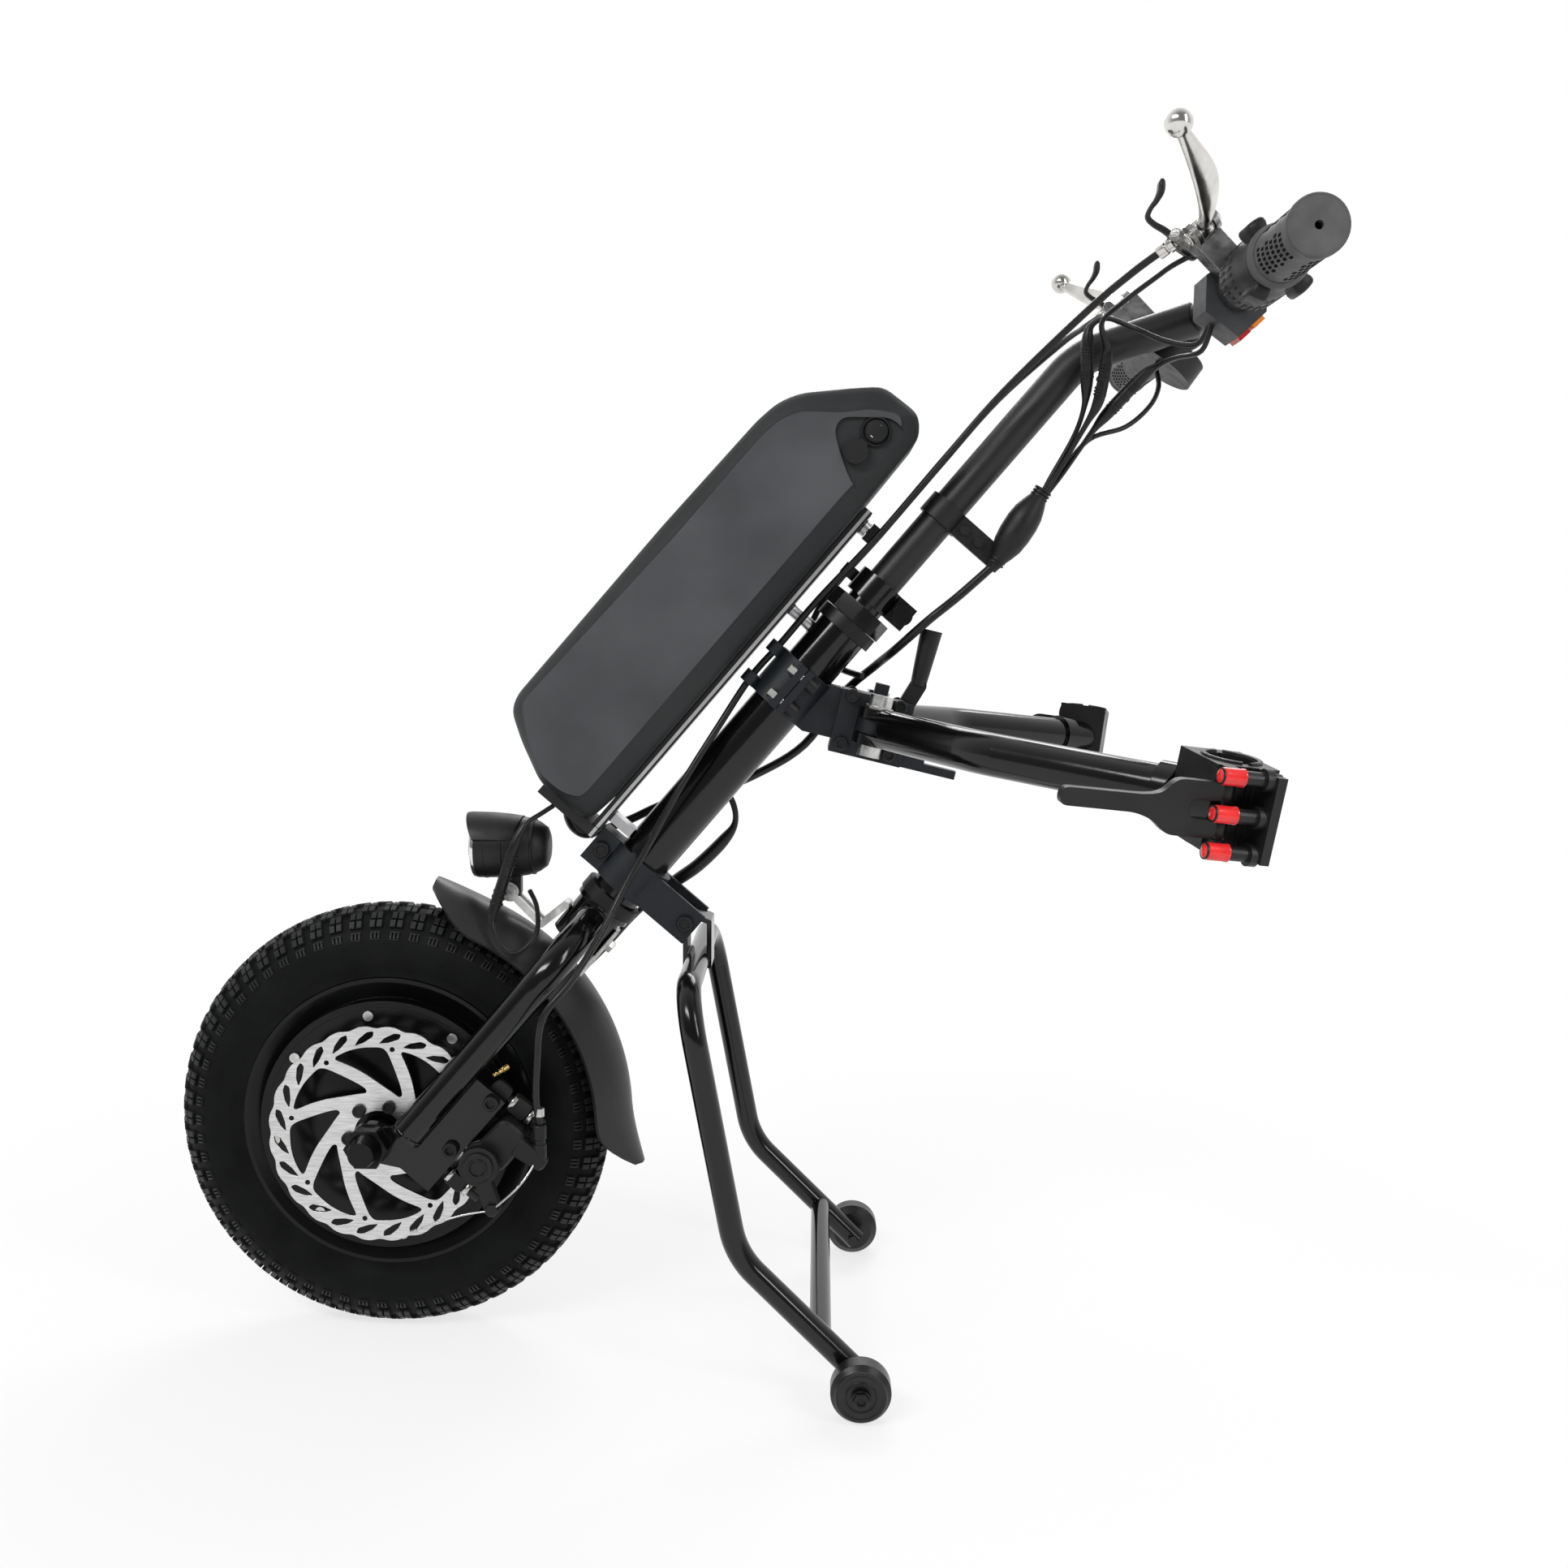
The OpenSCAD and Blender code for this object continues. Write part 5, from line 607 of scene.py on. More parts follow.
# Battery case: points of its outline and of its side panels in the column's frame, in millimetres
CASE = [((-140.7, 294.6), (-136, 304)), ((-145.5, 306), (-138, 310)), ((-144.5, 465), (-131.5, 465)),
    ((-141.4, 564), (-130.5, 556)), ((-138.5, 582.4), (-128, 573)), ((-130.9, 597.3), (-121, 587)),
    ((-104.1, 625.4), (-98.5, 605)), ((-89.9, 638.6), (-86, 619)), ((-61, 640.1), (-70, 629)),
    ((-53.8, 635.4), (-63.5, 627)), ((-47.5, 626.6), (-59.5, 618)), ((-46, 570), (-62, 562)),
    ((-46, 293), (-62.5, 300)), ((-48, 274.5), (-63, 285)), ((-53.6, 269.6), (-66, 281)),
    ((-72.9, 269.1), (-76, 276.5)), ((-92.5, 269.4), (-94.6, 276)), ((-121.4, 283), (-118.5, 289.5))]
RECESS_Y, ROCKER_N, ROCKER_S, MARK_OFF = -0.0426, -0.072865, 0.61042, 0.0036


def soften(poly, reach, steps=4):
    """Rounds each corner of an outline over a set distance."""
    out = []
    poly = [np.array(p, float) for p in poly]
    for i, v in enumerate(poly):
        a, b = poly[i - 1] - v, poly[(i + 1) % len(poly)] - v
        a = v + a * min(reach / np.linalg.norm(a), 0.45)
        b = v + b * min(reach / np.linalg.norm(b), 0.45)
        for k in range(steps + 1):
            t = k / steps
            out.append((1 - t) ** 2 * a + 2 * t * (1 - t) * v + t * t * b)
    return out


def cut(obj, tool):
    mod = obj.modifiers.new("cut", "BOOLEAN")
    mod.object = tool
    mod.solver = "EXACT"
    me = bpy.data.meshes.new_from_object(obj.evaluated_get(bpy.context.evaluated_depsgraph_get()))
    obj.modifiers.clear()
    obj.data = me
    bpy.data.objects.remove(tool)


def battery():
    outer = soften([c[0] for c in CASE], 7)
    panel = soften([c[1] for c in CASE], 6)
    # Places along Y, with the share of the way from the panel to the outline
    half = [(45, 0), (44.8, 0.012), (44.2, 0.05), (43.2, 0.18), (38.5, 0.7), (34.5, 0.93), (33, 0.965), (31, 0.985),
        (28.5, 1)]
    m = Mesh()
    m.rings([flat([p * (1 - t) + q * t for p, q in zip(panel, outer)], y)
             for y, t in [(-y, t) for y, t in half] + half[::-1]])
    o = m.make("case_shell", "case", smooth=35)
    c = Mesh()
    recess = soften([(-89, 587.5), (-96.5, 594), (-96.5, 603), (-72, 623.5), (-61, 624.5), (-40, 612), (-40, 560),
        (-53, 570.3), (-67, 574.7)], 5)
    c.rings([flat(recess, y) for y in (-60, RECESS_Y * 1000)])
    tool = c.make("recess_tool", "case", smooth=0)
    bpy.context.view_layer.update()
    cut(o, tool)
    o.data.materials.append(M["panel"])
    for f in o.data.polygons:
        if abs(f.normal.y) > 0.99 and abs(f.center.y) > 0.0449:
            f.material_index = 1
    soft_edges(o.data, 30)
    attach(o, "battery")
    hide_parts("battery_case")
    d = Mesh()
    ring(d, col(ROCKER_N, RECESS_Y, ROCKER_S), NEAR, [(8.6, 0), (10.6, 0), (10.6, 1.6), (10.2, 2.2), (9, 2.2),
        (8.6, 1.6)])
    lathe(d, col(-0.0743575, RECESS_Y, 0.590757), NEAR, [(7.2, 0), (7.2, 2.6)], 32)
    d.make("case_fittings", "plastic", "battery", "grey_plastic")
    s = Mesh()
    for along in (0.5007, 0.3793, 0.315, 0.56):
        p = col(-0.054, -0.03925, along)
        lathe(s, p, 0.6 * N_DIR + vec(0, -0.8, 0), [(2.6, -1), (2.6, 0.3), (2.1, 0.6), (1.2, 0.6), (1.1, -0.4)], 20)
    s.make("case_screws", "satin", "battery")
    k = Mesh()
    face = col(ROCKER_N, -0.047, ROCKER_S)
    lathe(k, face, NEAR, [(7.4, -0.2), (7, 0.5), (4, 0.9), (1.2, 1)], 36)
    k.make("rocker_face", "plastic", "rocker")
    w = Mesh()
    up = face + vec(0, -0.00075, 0) + S_DIR * MARK_OFF
    stroke = ((-0.0003, -0.0013), (0.0003, -0.0013), (0.0003, 0.0013), (-0.0003, 0.0013))
    w.rings([[up + N_DIR * a + S_DIR * b + vec(0, y, 0) for a, b in stroke] for y in (0.0004, -0.00005)])
    ring(w, face + vec(0, -0.0004, 0) - S_DIR * MARK_OFF, NEAR, [(1, 0), (1.6, 0), (1.6, 0.4), (1, 0.4)])
    w.make("rocker_marks", "white", "rocker", smooth=0)


battery()


# Brake levers with leaf-shaped blades
R_DIR, T_DIR = vec(-0.70711, 0, 0.70711), vec(-0.70711, 0, -0.70711)
BLADE_LONG, BLADE_RISE, BLADE_STEPS, KNOB_R = 0.089, 0.051, 26, 8.25


def brake_lever(word, side):
    m = Mesh()
    root = LEVER_ROOT * (1, side, 1)
    y_dir = vec(0, side, 0)

    def at(u):
        return root + y_dir * BLADE_LONG * u + R_DIR * BLADE_RISE * (0.12 * u + 0.88 * u ** 1.9)

    rings = []
    for u in (i / BLADE_STEPS for i in range(BLADE_STEPS + 1)):
        along = unit(at(min(u + 0.02, 1)) - at(max(u - 0.02, 0)))
        thick = np.cross(along, T_DIR)
        leaf = sin(pi * min(max((u - 0.12) / 0.82, 0), 1)) ** 1.3
        w = 0.0044 + 0.0042 * leaf
        h = 0.0046 - 0.0022 * min(u * 2.2, 1) + 0.0008 * max(u - 0.8, 0) * 5
        mid = at(u) - T_DIR * 0.0036 * leaf
        rings.append(oval(mid, T_DIR * w, thick * h, 0.75, 0.9))
    m.rings(rings)
    half_turn = [pi * k / 16 for k in range(17)]
    knob = [(KNOB_R * sin(t) + 0.01, KNOB_R - KNOB_R * cos(t)) for t in half_turn]
    lathe(m, at(1) - T_DIR * KNOB_R * MM, T_DIR, knob, 28)
    ring(m, root, T_DIR, [(2.6, -5), (6.2, -5), (6.6, -4.5), (6.6, 4.5), (6.2, 5), (2.6, 5)])
    o = m.make(f"{word}_lever_blade", "polish", f"{word}_lever", "alloy", smooth=50)
    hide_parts(f"{word}_lever")


# Parking latches: a bent bar with a broad thumb end
def park_latch(word, side):
    m = Mesh()
    clip = BAR + vec(0, side * 0.115, 0)
    # Place along R_DIR and T_DIR, width and thickness, in millimetres
    way = [(52, 13, 7.6, 3.4), (60, 14.4, 7, 3.4), (67, 16.4, 6, 3.2), (72.6, 16.2, 5.6, 3.2), (75.2, 11.4, 6, 3.2),
        (76.2, 5.6, 7.6, 3.8), (78.2, 0, 9, 4.6), (81.6, -4, 9, 4.2), (83.4, -5.6, 6, 2.4)]
    path = smooth_path(way, 5)
    rings = []
    for i, (r, t, w, h) in enumerate(path):
        a, b = path[max(i - 1, 0)], path[min(i + 1, len(path) - 1)]
        d = unit(b[:2] - a[:2])
        up = -d[1] * R_DIR + d[0] * T_DIR
        mid = clip + MM * (R_DIR * r + T_DIR * t)
        rings.append(oval(mid, up * h / 2000, vec(0, w / 2000, 0), 0.6, 0.6))
    m.rings(rings)
    ring(m, clip + R_DIR * 0.052 + T_DIR * 0.013, (0, 1, 0), [(1.6, -4), (3.6, -4), (4, -3.5), (4, 3.5), (3.6, 4),
        (1.6, 4)], 28)
    o = m.make(f"{word}_latch_bar", "plastic", f"{word}_park_latch", "black_plastic", smooth=50)
    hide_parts(f"{word}_park_latch")


for build in (brake_lever, park_latch):
    for word, side in SIDES:
        build(word, side)


# Grips and throttle: slots in the rubber, drawn as dark pads of painted shade, and raised ribs
def on_bar(angle, r, y):
    a = radians(angle)
    return BAR + vec(r * cos(a), y, r * sin(a))


def patch(mesh, a0, a1, r0, r1, y0, y1, soft=0.25):
    """A raised pad on a round bar."""
    da, dy = (a1 - a0) * soft, copysign(min(abs(y1 - y0) * 0.5, (r1 - r0) * 1.2), y1 - y0)
    shares = [k / 5 for k in range(6)]
    mesh.rings([[on_bar(a + (b - a) * t, r, y) for a, b, y in ((b0, b1, c0), (b1, b0, c1)) for t in shares]
                for b0, b1, r, c0, c1 in ((a0, a1, r0, y0, y1), (a0 + da, a1 - da, r1, y0 + dy, y1 - dy))])


def grips():
    dark = Mesh()
    rub = Mesh()
    for side in (-1, 1):
        y0, y1 = side * 0.204, side * 0.246
        for row in range(6):
            # Four fields of six slots, a third of each quarter left plain; each slot is a dark pad, painted shade of
            # its hollow
            for k in (k for k in range(36) if k % 9 < 6):
                a = k * 10 + (row % 2) * 5
                y = y0 + (y1 - y0) * row / 5
                patch(dark, a - 3.3, a + 3.3, 0.0163, 0.01672, y - 0.0026, y + 0.0026, 0.06)
        ring(rub, BAR + vec(0, side * 0.2632, 0), (0, side, 0), [(15, -6), (17.2, -5.5), (17.5, -4.5), (17.5, -1.2),
            (17.1, -0.3), (16, 0), (15, -1)])
        inner = 0.1882 if side < 0 else 0.1285
        ring(rub, BAR + vec(0, side * inner, 0), (0, side, 0), [(16, 0.4), (19, 0.6), (19.3, 1.4), (19, 3.4),
            (17.8, 5.8), (16.6, 6.6)])
    # The slot pads carry painted shade; the rims are the grip's own rubber
    dark.make("grip_slot_painted_shade", "slot", "stem", "grip_rubber", smooth=30)
    rub.make("grip_rims", "grip", "stem", "grip_rubber")
    t = Mesh()
    ring(t, BAR + vec(0, -0.1276, 0), NEAR, [(11.2, 0), (18.6, 0), (19.6, 1), (20, 4), (20.3, 20), (20, 39),
        (19.2, 47), (18.2, 54), (17.6, 59), (17, 60), (11.2, 60)], 64)
    for a in (125, 245, 318):
        rings = []
        for lift, shrink in ((0.0165, 0), (0.0225, 0), (0.0248, 0.12), (0.0258, 0.3), (0.026, 0.5)):
            wide, long = np.diag((17 * (1 - shrink * 0.8), 0.0118 * (1 - shrink * 0.6)))
            rings.append([on_bar(b, lift, y) for b, y in oval(np.array((a, -0.1757)), wide, long, 0.5, 0.5, 28)])
        t.rings(rings)
    o = t.make("throttle_barrel", "plastic", "throttle", "grip_rubber", smooth=45)
    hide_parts("throttle_sleeve")
    t = Mesh()
    for a in range(0, 360, 12):
        for y0, y1 in ((-0.1315, -0.144), (-0.1456, -0.159)):
            patch(t, a - 4.4, a + 4.4, 0.0196, 0.02085, y0, y1)
    t.make("throttle_ribs", "plastic", "throttle", "grip_rubber")


grips()


# Cable hub with its moulded waist, and the rings of the plugs
def hub():
    a, b = vec(0.2169, -0.012, 0.5745), vec(0.249, -0.012, 0.6252)
    d = b - a
    foot = a - d * 0.02
    m = Mesh()
    lathe(m, foot, d, [(3.6, -4), (4.6, 0), (5.2, 1.2), (5.6, 4), (8.2, 10), (10.6, 17), (11.7, 26), (11.8, 36),
        (10.8, 44), (8.6, 51), (6.2, 57), (5.4, 59.5), (5.2, 62.5)], 32)
    for heights, low, high in (((2, 4.5, 7), 4.6, 6.3), ((57.5, 60, 62.5), 4.4, 6.6)):
        for h in heights:
            ring(m, foot, d, [(low, h - 0.7), (high, h - 0.6), (high, h + 0.6), (low, h + 0.7)])
    m.make("hub_shell", "plastic", "stem", "black_plastic", smooth=45)
    p = Mesh()
    for points, lo, hi in ((THROTTLE, 6, 7), (BRAKE_LEAD, 6, 7), (SWITCH, 4, 5)):
        q0, r = spot(points[lo]), points[lo][3]
        d = spot(points[hi]) - q0
        for k in (0.12, 0.2, 0.28, 0.5, 0.72, 0.8, 0.88):
            w = 0.9 if k != 0.5 else 1.6
            ring(p, q0 + d * k, d, [(r * 0.8, -w), (r + 0.5, -w * 0.8), (r + 0.5, w * 0.8), (r * 0.8, w)], 24)
    p.make("plug_rings", "plastic", "stem", "cable_rubber")
    lp = Mesh()
    q0, mid, q1 = (spot(LAMP[k]) for k in (6, 7, 8))
    for k in (-0.7, -0.55, -0.4, 0.0, 0.4, 0.55, 0.7):
        c = mid + (q1 - mid if k > 0 else mid - q0) * k
        ring(lp, c, q1 - q0, [(3.6, -0.9), (4.9, -0.7), (4.9, 0.7), (3.6, 0.9)], 24)
    lp.make("lamp_plug_rings", "plastic", "fork", "cable_rubber")


hub()


# Brake disc: waved rim, leaf-shaped slots and broad swept arms, in millimetres; windows and bolts by radius and angle
WINDOW = [(64.8, 6.5), (65.2, 20), (65.2, 30), (64.4, 40.5), (54, 31), (46, 21.5), (36.4, 4.7), (32.6, -12),
    (31.4, -20), (34.6, -21.5), (40, -14.5), (46, -8), (55, -1), (61, 2.6)]
ROTOR_R, WAVE, ROTOR_FACES, EDGE_TURNS = 80, 1.6, (-52.35, -50.45), np.arange(0, 360, 1.25)
ROTOR_BOLTS = [(22, 8 + 60 * k) for k in range(6)]
LEAF = [(-8.8, -1.3), (-2, -2.7), (6.5, -2.5), (9, 0.6), (4.5, 2.6), (-3.5, 1.5)]


def polar(r, angle):
    a = radians(angle)
    return r * cos(a), r * sin(a)


def circle(r, centre=(0, 0), count=20):
    return [np.array(centre) + polar(r, 360 * k / count) for k in range(count)]


def rotor():
    waves = [(0.5 + 0.5 * cos(radians(24 * a))) ** 1.5 for a in EDGE_TURNS]
    loops = [[polar(ROTOR_R - WAVE * w, a) for w, a in zip(waves, EDGE_TURNS)], circle(17.5, count=48)]
    loops += [circle(2.5, polar(*p)) for p in ROTOR_BOLTS]
    for k in range(8):
        dot = 35 + 45 * k
        loops.append(soften([polar(r, dot + a) for r, a in WINDOW], 5))
        loops.append(circle(1.9, polar(64, dot), 14))
    for k in range(24):
        mid = 7.5 + 15 * k
        leaf = [(hypot(x, z), degrees(atan2(z, x)) + mid - 65) for x, z in soften(LEAF, 1.3, 3)]
        loops.append([np.array(polar(71.6, mid)) + polar(*p) for p in leaf])
    loops = [[Vector((*p, 0)) for p in loop] for loop in loops]
    verts = [WHEEL + vec(p.x, y, p.y) / 1000 for y in ROTOR_FACES for loop in loops for p in loop]
    count = len(verts) // 2
    tris = tessellate_polygon(loops)
    faces = [tuple(t) for t in tris] + [tuple(i + count for i in t[::-1]) for t in tris]
    start = 0
    for loop in loops:
        n = len(loop)
        faces += [(start + k, start + (k + 1) % n, start + (k + 1) % n + count, start + k + count) for k in range(n)]
        start += n
    disc = Mesh()
    disc.add(verts, faces)
    o = disc.make("rotor", "rotor", "wheel", "steel", smooth=30)
    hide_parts("brake_disc")
    m = Mesh()
    for r, a in ROTOR_BOLTS:
        socket(m, on_wheel(a, r * MM, ROTOR_FACES[0] * MM), NEAR, 4.6, 3.4, 0.7)
    m.make("rotor_bolts", "satin", "wheel", smooth=35)


# Tyre valve
def valve():
    m = Mesh()
    t = radians(26)
    out = vec(cos(t), 0, sin(t))
    base = WHEEL + out * 0.0985 + vec(0, -0.0235, 0)
    d = -out * 0.75 + vec(0, -0.66, 0)
    lathe(m, base, d, [(2.6, 0), (2.6, 5), (2.1, 5.4), (2.1, 10.8), (1.6, 11.2), (1.6, 13.2), (1.1, 13.6)], 20)
    m.make("valve", "brass", "wheel", smooth=35)


# Caliper washers, boss of its arm, and the brake wire that pulls the arm
POSTS = (0.017, 0.087)


def caliper_fittings():
    s = Mesh()
    for along in POSTS:
        for across in (0.0562, 0.0404):
            ring(s, col(across, -0.062, along), N_DIR, [(3.1, 0), (6.3, 0), (6.6, 0.4), (6.6, 2.8), (6.3, 3.2),
                (3.1, 3.2)], 28)
    lathe(s, spot(BRAKE[-1]) + vec(0, 0, 0.012), (0.02, 0, -1), [(2.6, 0), (3.5, 0.5), (3.5, 6), (3, 6.5)], 20)
    s.make("caliper_washers", "steel", "fork")
    k = Mesh()
    lathe(k, col(0.052, -0.0886, 0.044), NEAR, [(10.5, 0), (10.5, 1.2), (9.8, 2), (6.8, 2), (6.6, 3), (5.6, 3.2),
        (5, 1.6), (1.2, 1.4)], 32)
    lathe(k, col(0.079, -0.0886, 0.027), NEAR, [(4.6, 0), (4.6, 2.2), (3.8, 3), (1, 3)], 6)
    k.make("caliper_arm_boss", "satin", "caliper_arm", smooth=35)
    w = Mesh()
    end = col(0.079, -0.0896, 0.027)
    start = vec(-0.1011, -0.075, 0.156)
    tube(w, [start, start * 0.5 + end * 0.5 + vec(0.004, -0.004, 0), end], 0.0008)
    o = w.make("brake_wire", "steel", smooth=60)
    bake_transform(o)
    tail = Mesh()
    tip = end + vec(-0.052, -0.003, -0.014)
    tube(tail, [end, end + vec(-0.024, -0.002, -0.004), tip], 0.0007)
    lathe(tail, tip, (-0.93, 0, -0.36), [(1.2, 0), (1.2, 5), (0.7, 5.4)], 12)
    tail.make("wire_tail", "steel", "caliper_arm", smooth=60)


# Lamp: shell with hood and foot, bezel and reflector
def lamp_head():
    shell = Mesh()
    lathe(shell, LAMP_AT, FORWARD, [(4, -37.5), (10, -37.2), (14.5, -35.5), (18.5, -30), (21.3, -22), (22.8, -12),
        (23.3, -2), (23.5, 14), (23.1, 16.5), (21.4, 16.5), (20.6, 12), (20.5, 7.2), (2, 7)], 48)
    for h, r in ((-26, 20.8), (-4, 23.6), (9, 23.8)):
        ring(shell, LAMP_AT, FORWARD, [(r - 1, h - 1.2), (r, h - 0.8), (r, h + 0.8), (r - 1, h + 1.2)], 48)
    hood = []
    reach = radians(74)
    for a in (radians(-72 + 6 * k) for k in range(25)):
        lip = cos(a / reach * pi / 2) ** 0.7 if abs(a) < reach else 0
        f = 0.015 + 0.0084 * lip
        section = ((0.0226, -0.012 - 0.006 * lip), (0.024, -0.008), (0.025, 0.004), (0.0253, f - 0.003), (0.0249, f),
            (0.0238, f), (0.0234, f - 0.002), (0.023, 0.002))
        hood.append([LAMP_AT + vec(-h, r * sin(a), r * cos(a)) for r, h in section])
    shell.rings(hood)
    below = (pi + pi * k / 16 for k in range(17))
    foot = [(-0.1344 + 0.008 * cos(a), 0.332 + 0.008 * sin(a)) for a in below]
    foot += [(-0.1264, 0.344), (-0.124, 0.351), (-0.1448, 0.351), (-0.1424, 0.344)]
    shell.rings([[vec(x, y, z) for x, z in foot] for y in (-0.004, 0.004)])
    o = shell.make("lamp_shell", "plastic", "lamp", "black_plastic", smooth=45)
    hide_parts("headlight")
    bezel = Mesh()
    ring(bezel, (-0.1589, 0, 0.365), FORWARD,
        [(20, -1), (20, 1), (20.8, 1.8), (22.6, 1.6), (23.4, 0.6), (23.4, -1)], 48)
    bezel.make("lamp_bezel", "reflector", "lamp", "alloy", smooth=50)
    b = Mesh()
    lathe(b, (-0.153, 0, 0.365), FORWARD, [(3, 0), (10, 0.6), (16, 2.2), (19.6, 4.4)], 40)
    b.make("lamp_reflector", "reflector", "lamp", "alloy", smooth=60)


valve()
caliper_fittings()
lamp_head()


# Stand wheels: rings of the face, and bolt
def casters():
    for word, side in SIDES:
        hub_at = vec(0.125801, side * 0.141, 0.0205)
        y = (0, side, 0)
        m = Mesh()
        ring(m, hub_at, y, [(12, 9.8), (15, 11.2), (16, 11.6), (17.2, 11.4), (17.6, 10.4), (15, 9.6)], 48)
        ring(m, hub_at, y, [(6, 10.4), (9.8, 11), (10.4, 11.6), (11, 11.2), (11, 10)], 40)
        m.make(f"{word}_caster_rings", "caster", f"{word}_caster", "tyre_rubber", smooth=50)
        b = Mesh()
        lathe(b, hub_at + vec(0, side * 0.0146, 0), y, [(5.8, 0), (5.8, 2.2), (5, 3), (3.2, 3), (3, 1.4),
            (0.8, 1.2)], 6)
        b.make(f"{word}_caster_bolt", "satin", "stand", smooth=30)


casters()


# Weld beads round the joints of the tubes
def bead(mesh, centre, direction, r, size=0.0013, sides=56):
    d, u, v = axes(direction)
    centre = np.array(centre, float)
    rings = []
    for a in around(sides):
        out = spoke(a, u, v)
        s = size * (1 + 0.22 * sin(a * sides / 4))
        rings.append([centre + out * (r + s * 0.5 * cos(b)) + d * s * sin(b) for b in around(8)])
    mesh.rings(rings, loop=True)


def welds():
    m = Mesh()
    lean = radians(70)
    for side in (-1, 1):
        d = vec(0, -side * sin(lean), 0) + cos(lean) * S_DIR
        bead(m, col(0, side * 0.0195, 0.2125), d, 0.0117)
        bead(m, col(0, side * 0.07, 0.0235), S_DIR, 0.0117)
    m.make("fork_welds", "gloss", "fork", smooth=60)


welds()


# Screws of the hitch plates, the stand bracket and the lever bodies
def screws():
    m = Mesh()
    for side in (-1, 1):
        for x in (-0.02, 0.015):
            for z in (-0.0175, 0.0175):
                socket(m, HITCH + HITCH_TURN @ Vector((x, side * 0.0201, z)), (0, side, 0), 5, 4.6)
        socket(m, col(0.0528, side * 0.0201, 0.2571), (0, side, 0), 6, 4.6)
        socket(m, col(-0.0283, side * 0.0121, 0.2571), (0, side, 0), 6, 4.6)
        for s in (0.4266, 0.4486):
            socket(m, col(0.006, side * 0.0283, s), N_DIR, 5.3, 7.6)
    m.make("plate_screws", "satin", "column", smooth=35)
    s = Mesh()
    for side in (-1, 1):
        for d in (T_DIR, -T_DIR):
            socket(s, LEVER_ROOT * (1, side, 1) + d * 0.0092, d, 4.6, 2.8)
    for points in (BRAKE, RELEASE):
        d = unit(spot(points[0]) - spot(points[1]))
        lathe(s, spot(points[0]) - d * 0.007, d, [(2.7, 0), (4, 0.4), (4.4, 1), (4.4, 6.2), (3.8, 7), (3.8, 8),
            (5, 8.4), (5, 11.8), (3.4, 12.4), (3.4, 18)])
    s.make("lever_screws", "polish", "stem", smooth=35)


screws()
rotor()


# Brake caliper: cast halves round the disc, neck, lug, bracket and bolts, in the column's frame
def casting(mesh, outline, y0, y1, edge=1.2, reach=5):
    """An outline made solid along Y with round corners and broken edges, in millimetres."""
    full = soften(outline, reach)
    mid = sum(full) / len(full)
    small = [p - unit(p - mid) * edge for p in full]
    mesh.rings([flat(shape, y) for shape, y in ((small, y0), (full, y0 + edge), (full, y1 - edge), (small, y1))])


def caliper():
    m = Mesh()
    casting(m, [(41, 46), (66, 44), (68, 58), (65, 80), (43, 80)], -79.6, -54.4, 2, 8)
    casting(m, [(41, 20), (58, 19), (64, 34), (41, 36)], -66, -54.4)
    casting(m, [(41, 26), (65, 26), (68, 32), (68, 74), (64, 80), (41, 80)], -48.4, -36, 2)
    casting(m, [(64.6, 28), (68, 28), (68, 76), (64.6, 76)], -56, -47, 0.4, 1)
    casting(m, [(62, 62), (88, 66), (88, 76), (62, 78)], -80, -70, 1.5)
    casting(m, [(22.5, 5), (37.5, 5), (37.5, 95), (22.5, 95)], -65.95, -60.45, 0.8)
    for s in (10, 80):
        casting(m, [(40, s), (56, s), (56, s + 14), (40, s + 14)], -66, -58, 0.8, 4)
    for y in (-53.575, -49.225):
        casting(m, [(33.4, 37), (47.4, 37), (47.4, 67), (33.4, 67)], y - 0.82, y + 0.82, 0.2, 2)
    lathe(m, col(0.052, -0.0546, 0.044), NEAR, [(13, 0), (14.3, 1), (14.3, 17), (13.4, 17.6), (13.4, 20),
        (14.3, 20.6), (14.3, 24.3), (13.4, 25.2), (3.9, 25.2), (3.9, 33.5)], 40)
    for s in POSTS:
        lathe(m, col(0.0376, -0.062, s), N_DIR, [(2.9, 0), (2.9, 22.5), (5, 22.6), (5, 30), (4.5, 31.2), (2.9, 31.2),
            (2.7, 29.2), (0.4, 29.2)])
    for s in (0.035, 0.08):
        socket(m, col(0.03, -0.072, s), NEAR, 5.5, 5, 2.6)
    ring(m, WHEEL + vec(0.121, -0.075, -0.007), (0, 0, 1), [(1.3, 0), (4.4, 0), (5, 0.6), (5, 10), (4.2, 10.4),
        (4.2, 13.6), (5, 14), (5, 23.2), (4.4, 24), (1.3, 24)], 32)
    o = m.make("caliper_cast", "satin", "fork", smooth=35)
    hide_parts("caliper")


caliper()


# Tube clamps: red caps of the bolts, forked handles and rounded lips
PADDLE = [(-113, -5.2), (-113, 5.2), (-64, 5.4), (-54, 7), (-46, 16.2), (-17, 16.2), (-17, 5.4), (-36, 5.4),
    (-36, -5.4), (-17, -5.4), (-17, -16.2), (-47, -16.2), (-57, -8.4), (-68, -5.3)]
LIP = ((0.0143, -0.001), (0.0178, -0.001), (0.0174, 0.0013), (0.0164, 0.0017), (0.0147, 0.0013))
LIP_STEPS, LIP_Z = 18, 0.025
CLAMP_LEAN = Vector((cos(radians(36)), sin(radians(36)), 0))
CLAMP_TURN = HITCH_TURN @ Matrix.Rotation(radians(-8), 3, CLAMP_LEAN) @ Matrix.Rotation(radians(-15), 3, "Z")
CLAMP_AT = HITCH + HITCH_TURN @ Vector((0.193811, 0.241065, 0.018948))


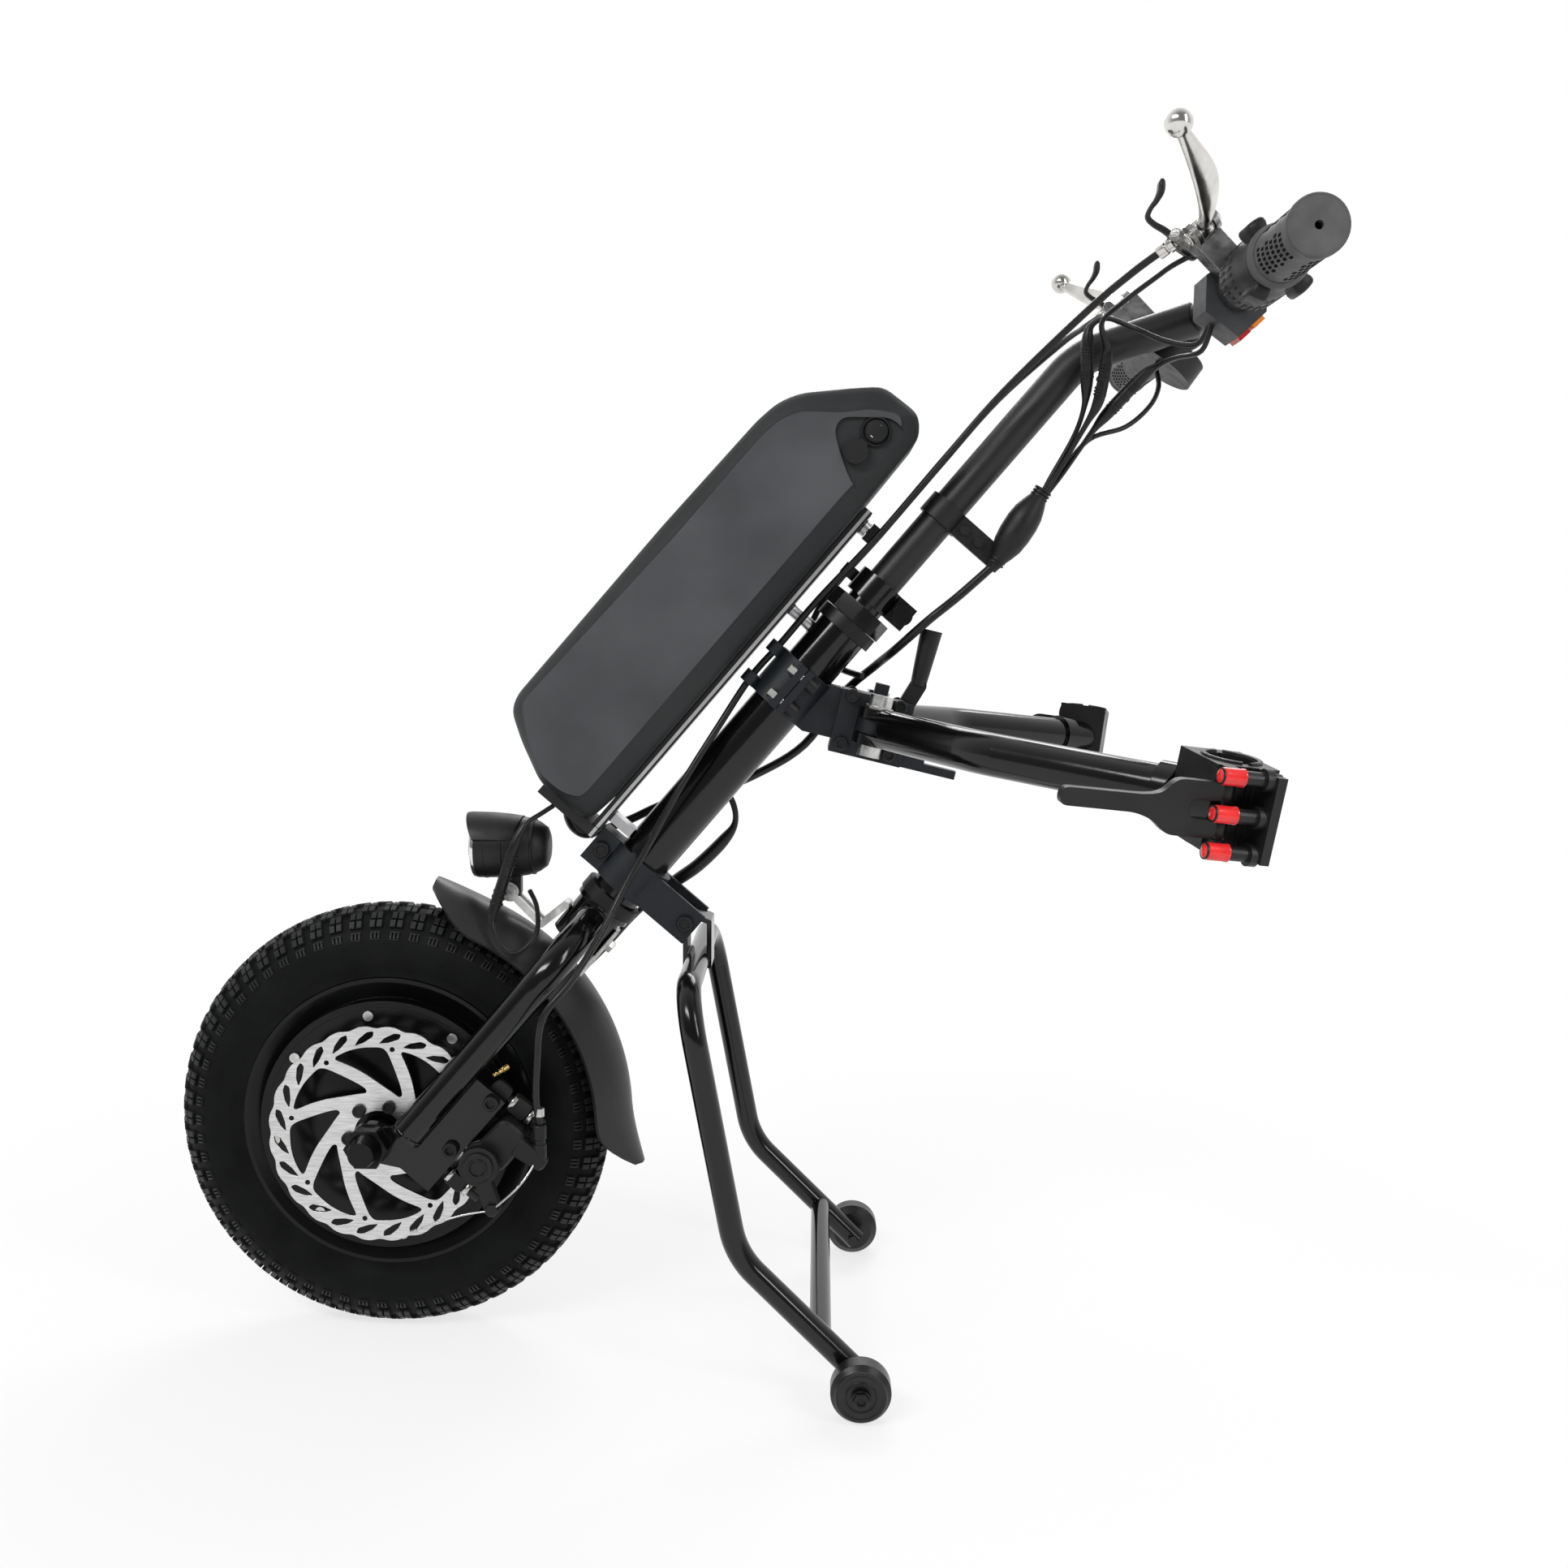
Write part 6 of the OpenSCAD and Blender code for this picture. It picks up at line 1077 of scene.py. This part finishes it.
def clamp(word, side):
    def at(x, y, z):
        """A place in the clamp's own frame, mirrored for the left one."""
        p = CLAMP_AT + CLAMP_TURN @ Vector((x, y, z))
        return vec(p.x, side * p.y, p.z)

    m = Mesh()
    for z in (-0.0215, 0, 0.0215):
        a = at(-0.0118, 0.037, z)
        d = at(-0.0128, 0.037, z) - a
        lathe(m, a, d, [(4.9, 0), (5.3, 0.3), (5.2, 1.6), (5, 2), (5, 12.2), (4.5, 13.8), (3.2, 14.7), (1.2, 15)])
    m.make(f"{word}_bolt_caps", "vinyl", f"{word}_jaw", smooth=50)
    m = Mesh()
    paddle = soften(PADDLE, 4.6)
    m.rings([[at(x / 1000, y / 1000, z / 1000) for x, z in paddle] for y in (24.4, 24.9, 29.4, 29.9)])
    for mid in (-0.01075, 0.01075):
        a, b = (at(-0.014, 0.027, mid + half) for half in (-0.0055, 0.0055))
        ring(m, a, b - a, [(2.05, 0), (3.7, 0), (4, 0.4), (4, 10.6), (3.7, 11), (2.05, 11)], 28)
    o = m.make(f"{word}_paddle", "clamp", f"{word}_handle", "clamp_black")
    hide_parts(f"{word}_clamp_handle")
    for part, body, lo, hi in (("block", f"{word}_arm", 98, 262), ("jaw", f"{word}_jaw", -80, 80)):
        m = Mesh()
        turns = [radians(lo + (hi - lo) * k / LIP_STEPS) for k in range(LIP_STEPS + 1)]
        for up in (1, -1):
            m.rings([[at(r * cos(c), r * sin(c), up * (LIP_Z + h)) for r, h in LIP] for c in turns])
        m.make(f"{word}_{part}_lip", "clamp", body, "clamp_black")


for word, side in reversed(SIDES):
    clamp(word, side)

# White floor
FLOOR_REACH, FLOOR_GREY = 9, 0.86
floor_mat, tree = blank("floor")
shade(tree, {"Base Color": (FLOOR_GREY, FLOOR_GREY, FLOOR_GREY, 1), "Roughness": 0.8, "Specular IOR Level": 0.1})
rays = new_node(tree, "LightPath").outputs
seen = rays["Is Camera Ray"]
for kind in ("Is Transmission Ray", "Is Glossy Ray"):
    seen = new_node(tree, "Math", {0: seen, 1: rays[kind]}, operation="MAXIMUM").outputs[0]
# White far off, with the object's shadow kept near it
far = new_node(tree, "VectorMath", {0: new_node(tree, "NewGeometry").outputs["Position"]}, operation="LENGTH")
limits = {"From Min": 0.3, "From Max": 1.0, "To Min": 0.72}
fade = new_node(tree, "MapRange", {"Value": far.outputs["Value"], **limits}, interpolation_type="SMOOTHSTEP")
share = new_node(tree, "Math", {0: seen, 1: fade.outputs["Result"]}, operation="MULTIPLY")
white = new_node(tree, "Emission").outputs[0]
mix = new_node(tree, "MixShader", {0: share.outputs[0], 1: tree.nodes["Principled BSDF"].outputs[0], 2: white})
feed(tree, tree.nodes["Material Output"].inputs["Surface"], mix.outputs[0])
fm = bpy.data.meshes.new("floor")
FLOOR = [(x * FLOOR_REACH, y * FLOOR_REACH, 0) for x, y in ((-1, -1), (1, -1), (1, 1), (-1, 1))]
fm.from_pydata(FLOOR, [], [(0, 1, 2, 3)])
fm.materials.append(floor_mat)
floor = bpy.data.objects.new("floor", fm)
LINK(floor)

# A white room, dimmer in front of the object for what it reflects
AMBIENT, FRONT = 0.55, 0.2
world = bpy.data.worlds.new("studio")
bpy.context.scene.world = world
world.use_nodes = True
tree = world.node_tree
rays = new_node(tree, "LightPath").outputs
place = new_node(tree, "SeparateXYZ", {"Vector": new_node(tree, "TexCoord").outputs["Generated"]})
limits = {"From Min": -0.7, "From Max": 0.5, "To Min": FRONT}
room = new_node(tree, "MapRange", {"Value": place.outputs["Y"], **limits}, interpolation_type="SMOOTHSTEP")
strength = AMBIENT
for kind, value in (("Is Glossy Ray", room.outputs["Result"]), ("Is Camera Ray", 1.0), ("Is Transmission Ray", 1.0)):
    strength = new_node(tree, "Mix", {"Factor": rays[kind], "A": strength, "B": value}).outputs["Result"]
feed(tree, tree.nodes["Background"].inputs["Color"], (1, 1, 1, 1))
feed(tree, tree.nodes["Background"].inputs["Strength"], strength)


def lamp(name, place, power, wide, tall, aim=(0, 0, 0.4)):
    """An area lamp of the studio, turned to the object."""
    d = bpy.data.lights.new(name, "AREA")
    d.energy, d.shape, d.size, d.size_y = power, "RECTANGLE", wide, tall
    o = bpy.data.objects.new(name, d)
    o.location = place
    o.rotation_mode = "QUATERNION"
    o.rotation_quaternion = (Vector(aim) - Vector(place)).to_track_quat("-Z", "Y")
    LINK(o)


lamp("key", (-1.2, -1.8, 2.2), 38, 1.6, 0.45)
lamp("fill", (1.6, -1.4, 1.4), 16, 0.35, 1.4)
lamp("back", (0.4, 1.8, 2.0), 26, 1.6, 0.8)

bpy.context.scene.view_settings.view_transform = "Standard"
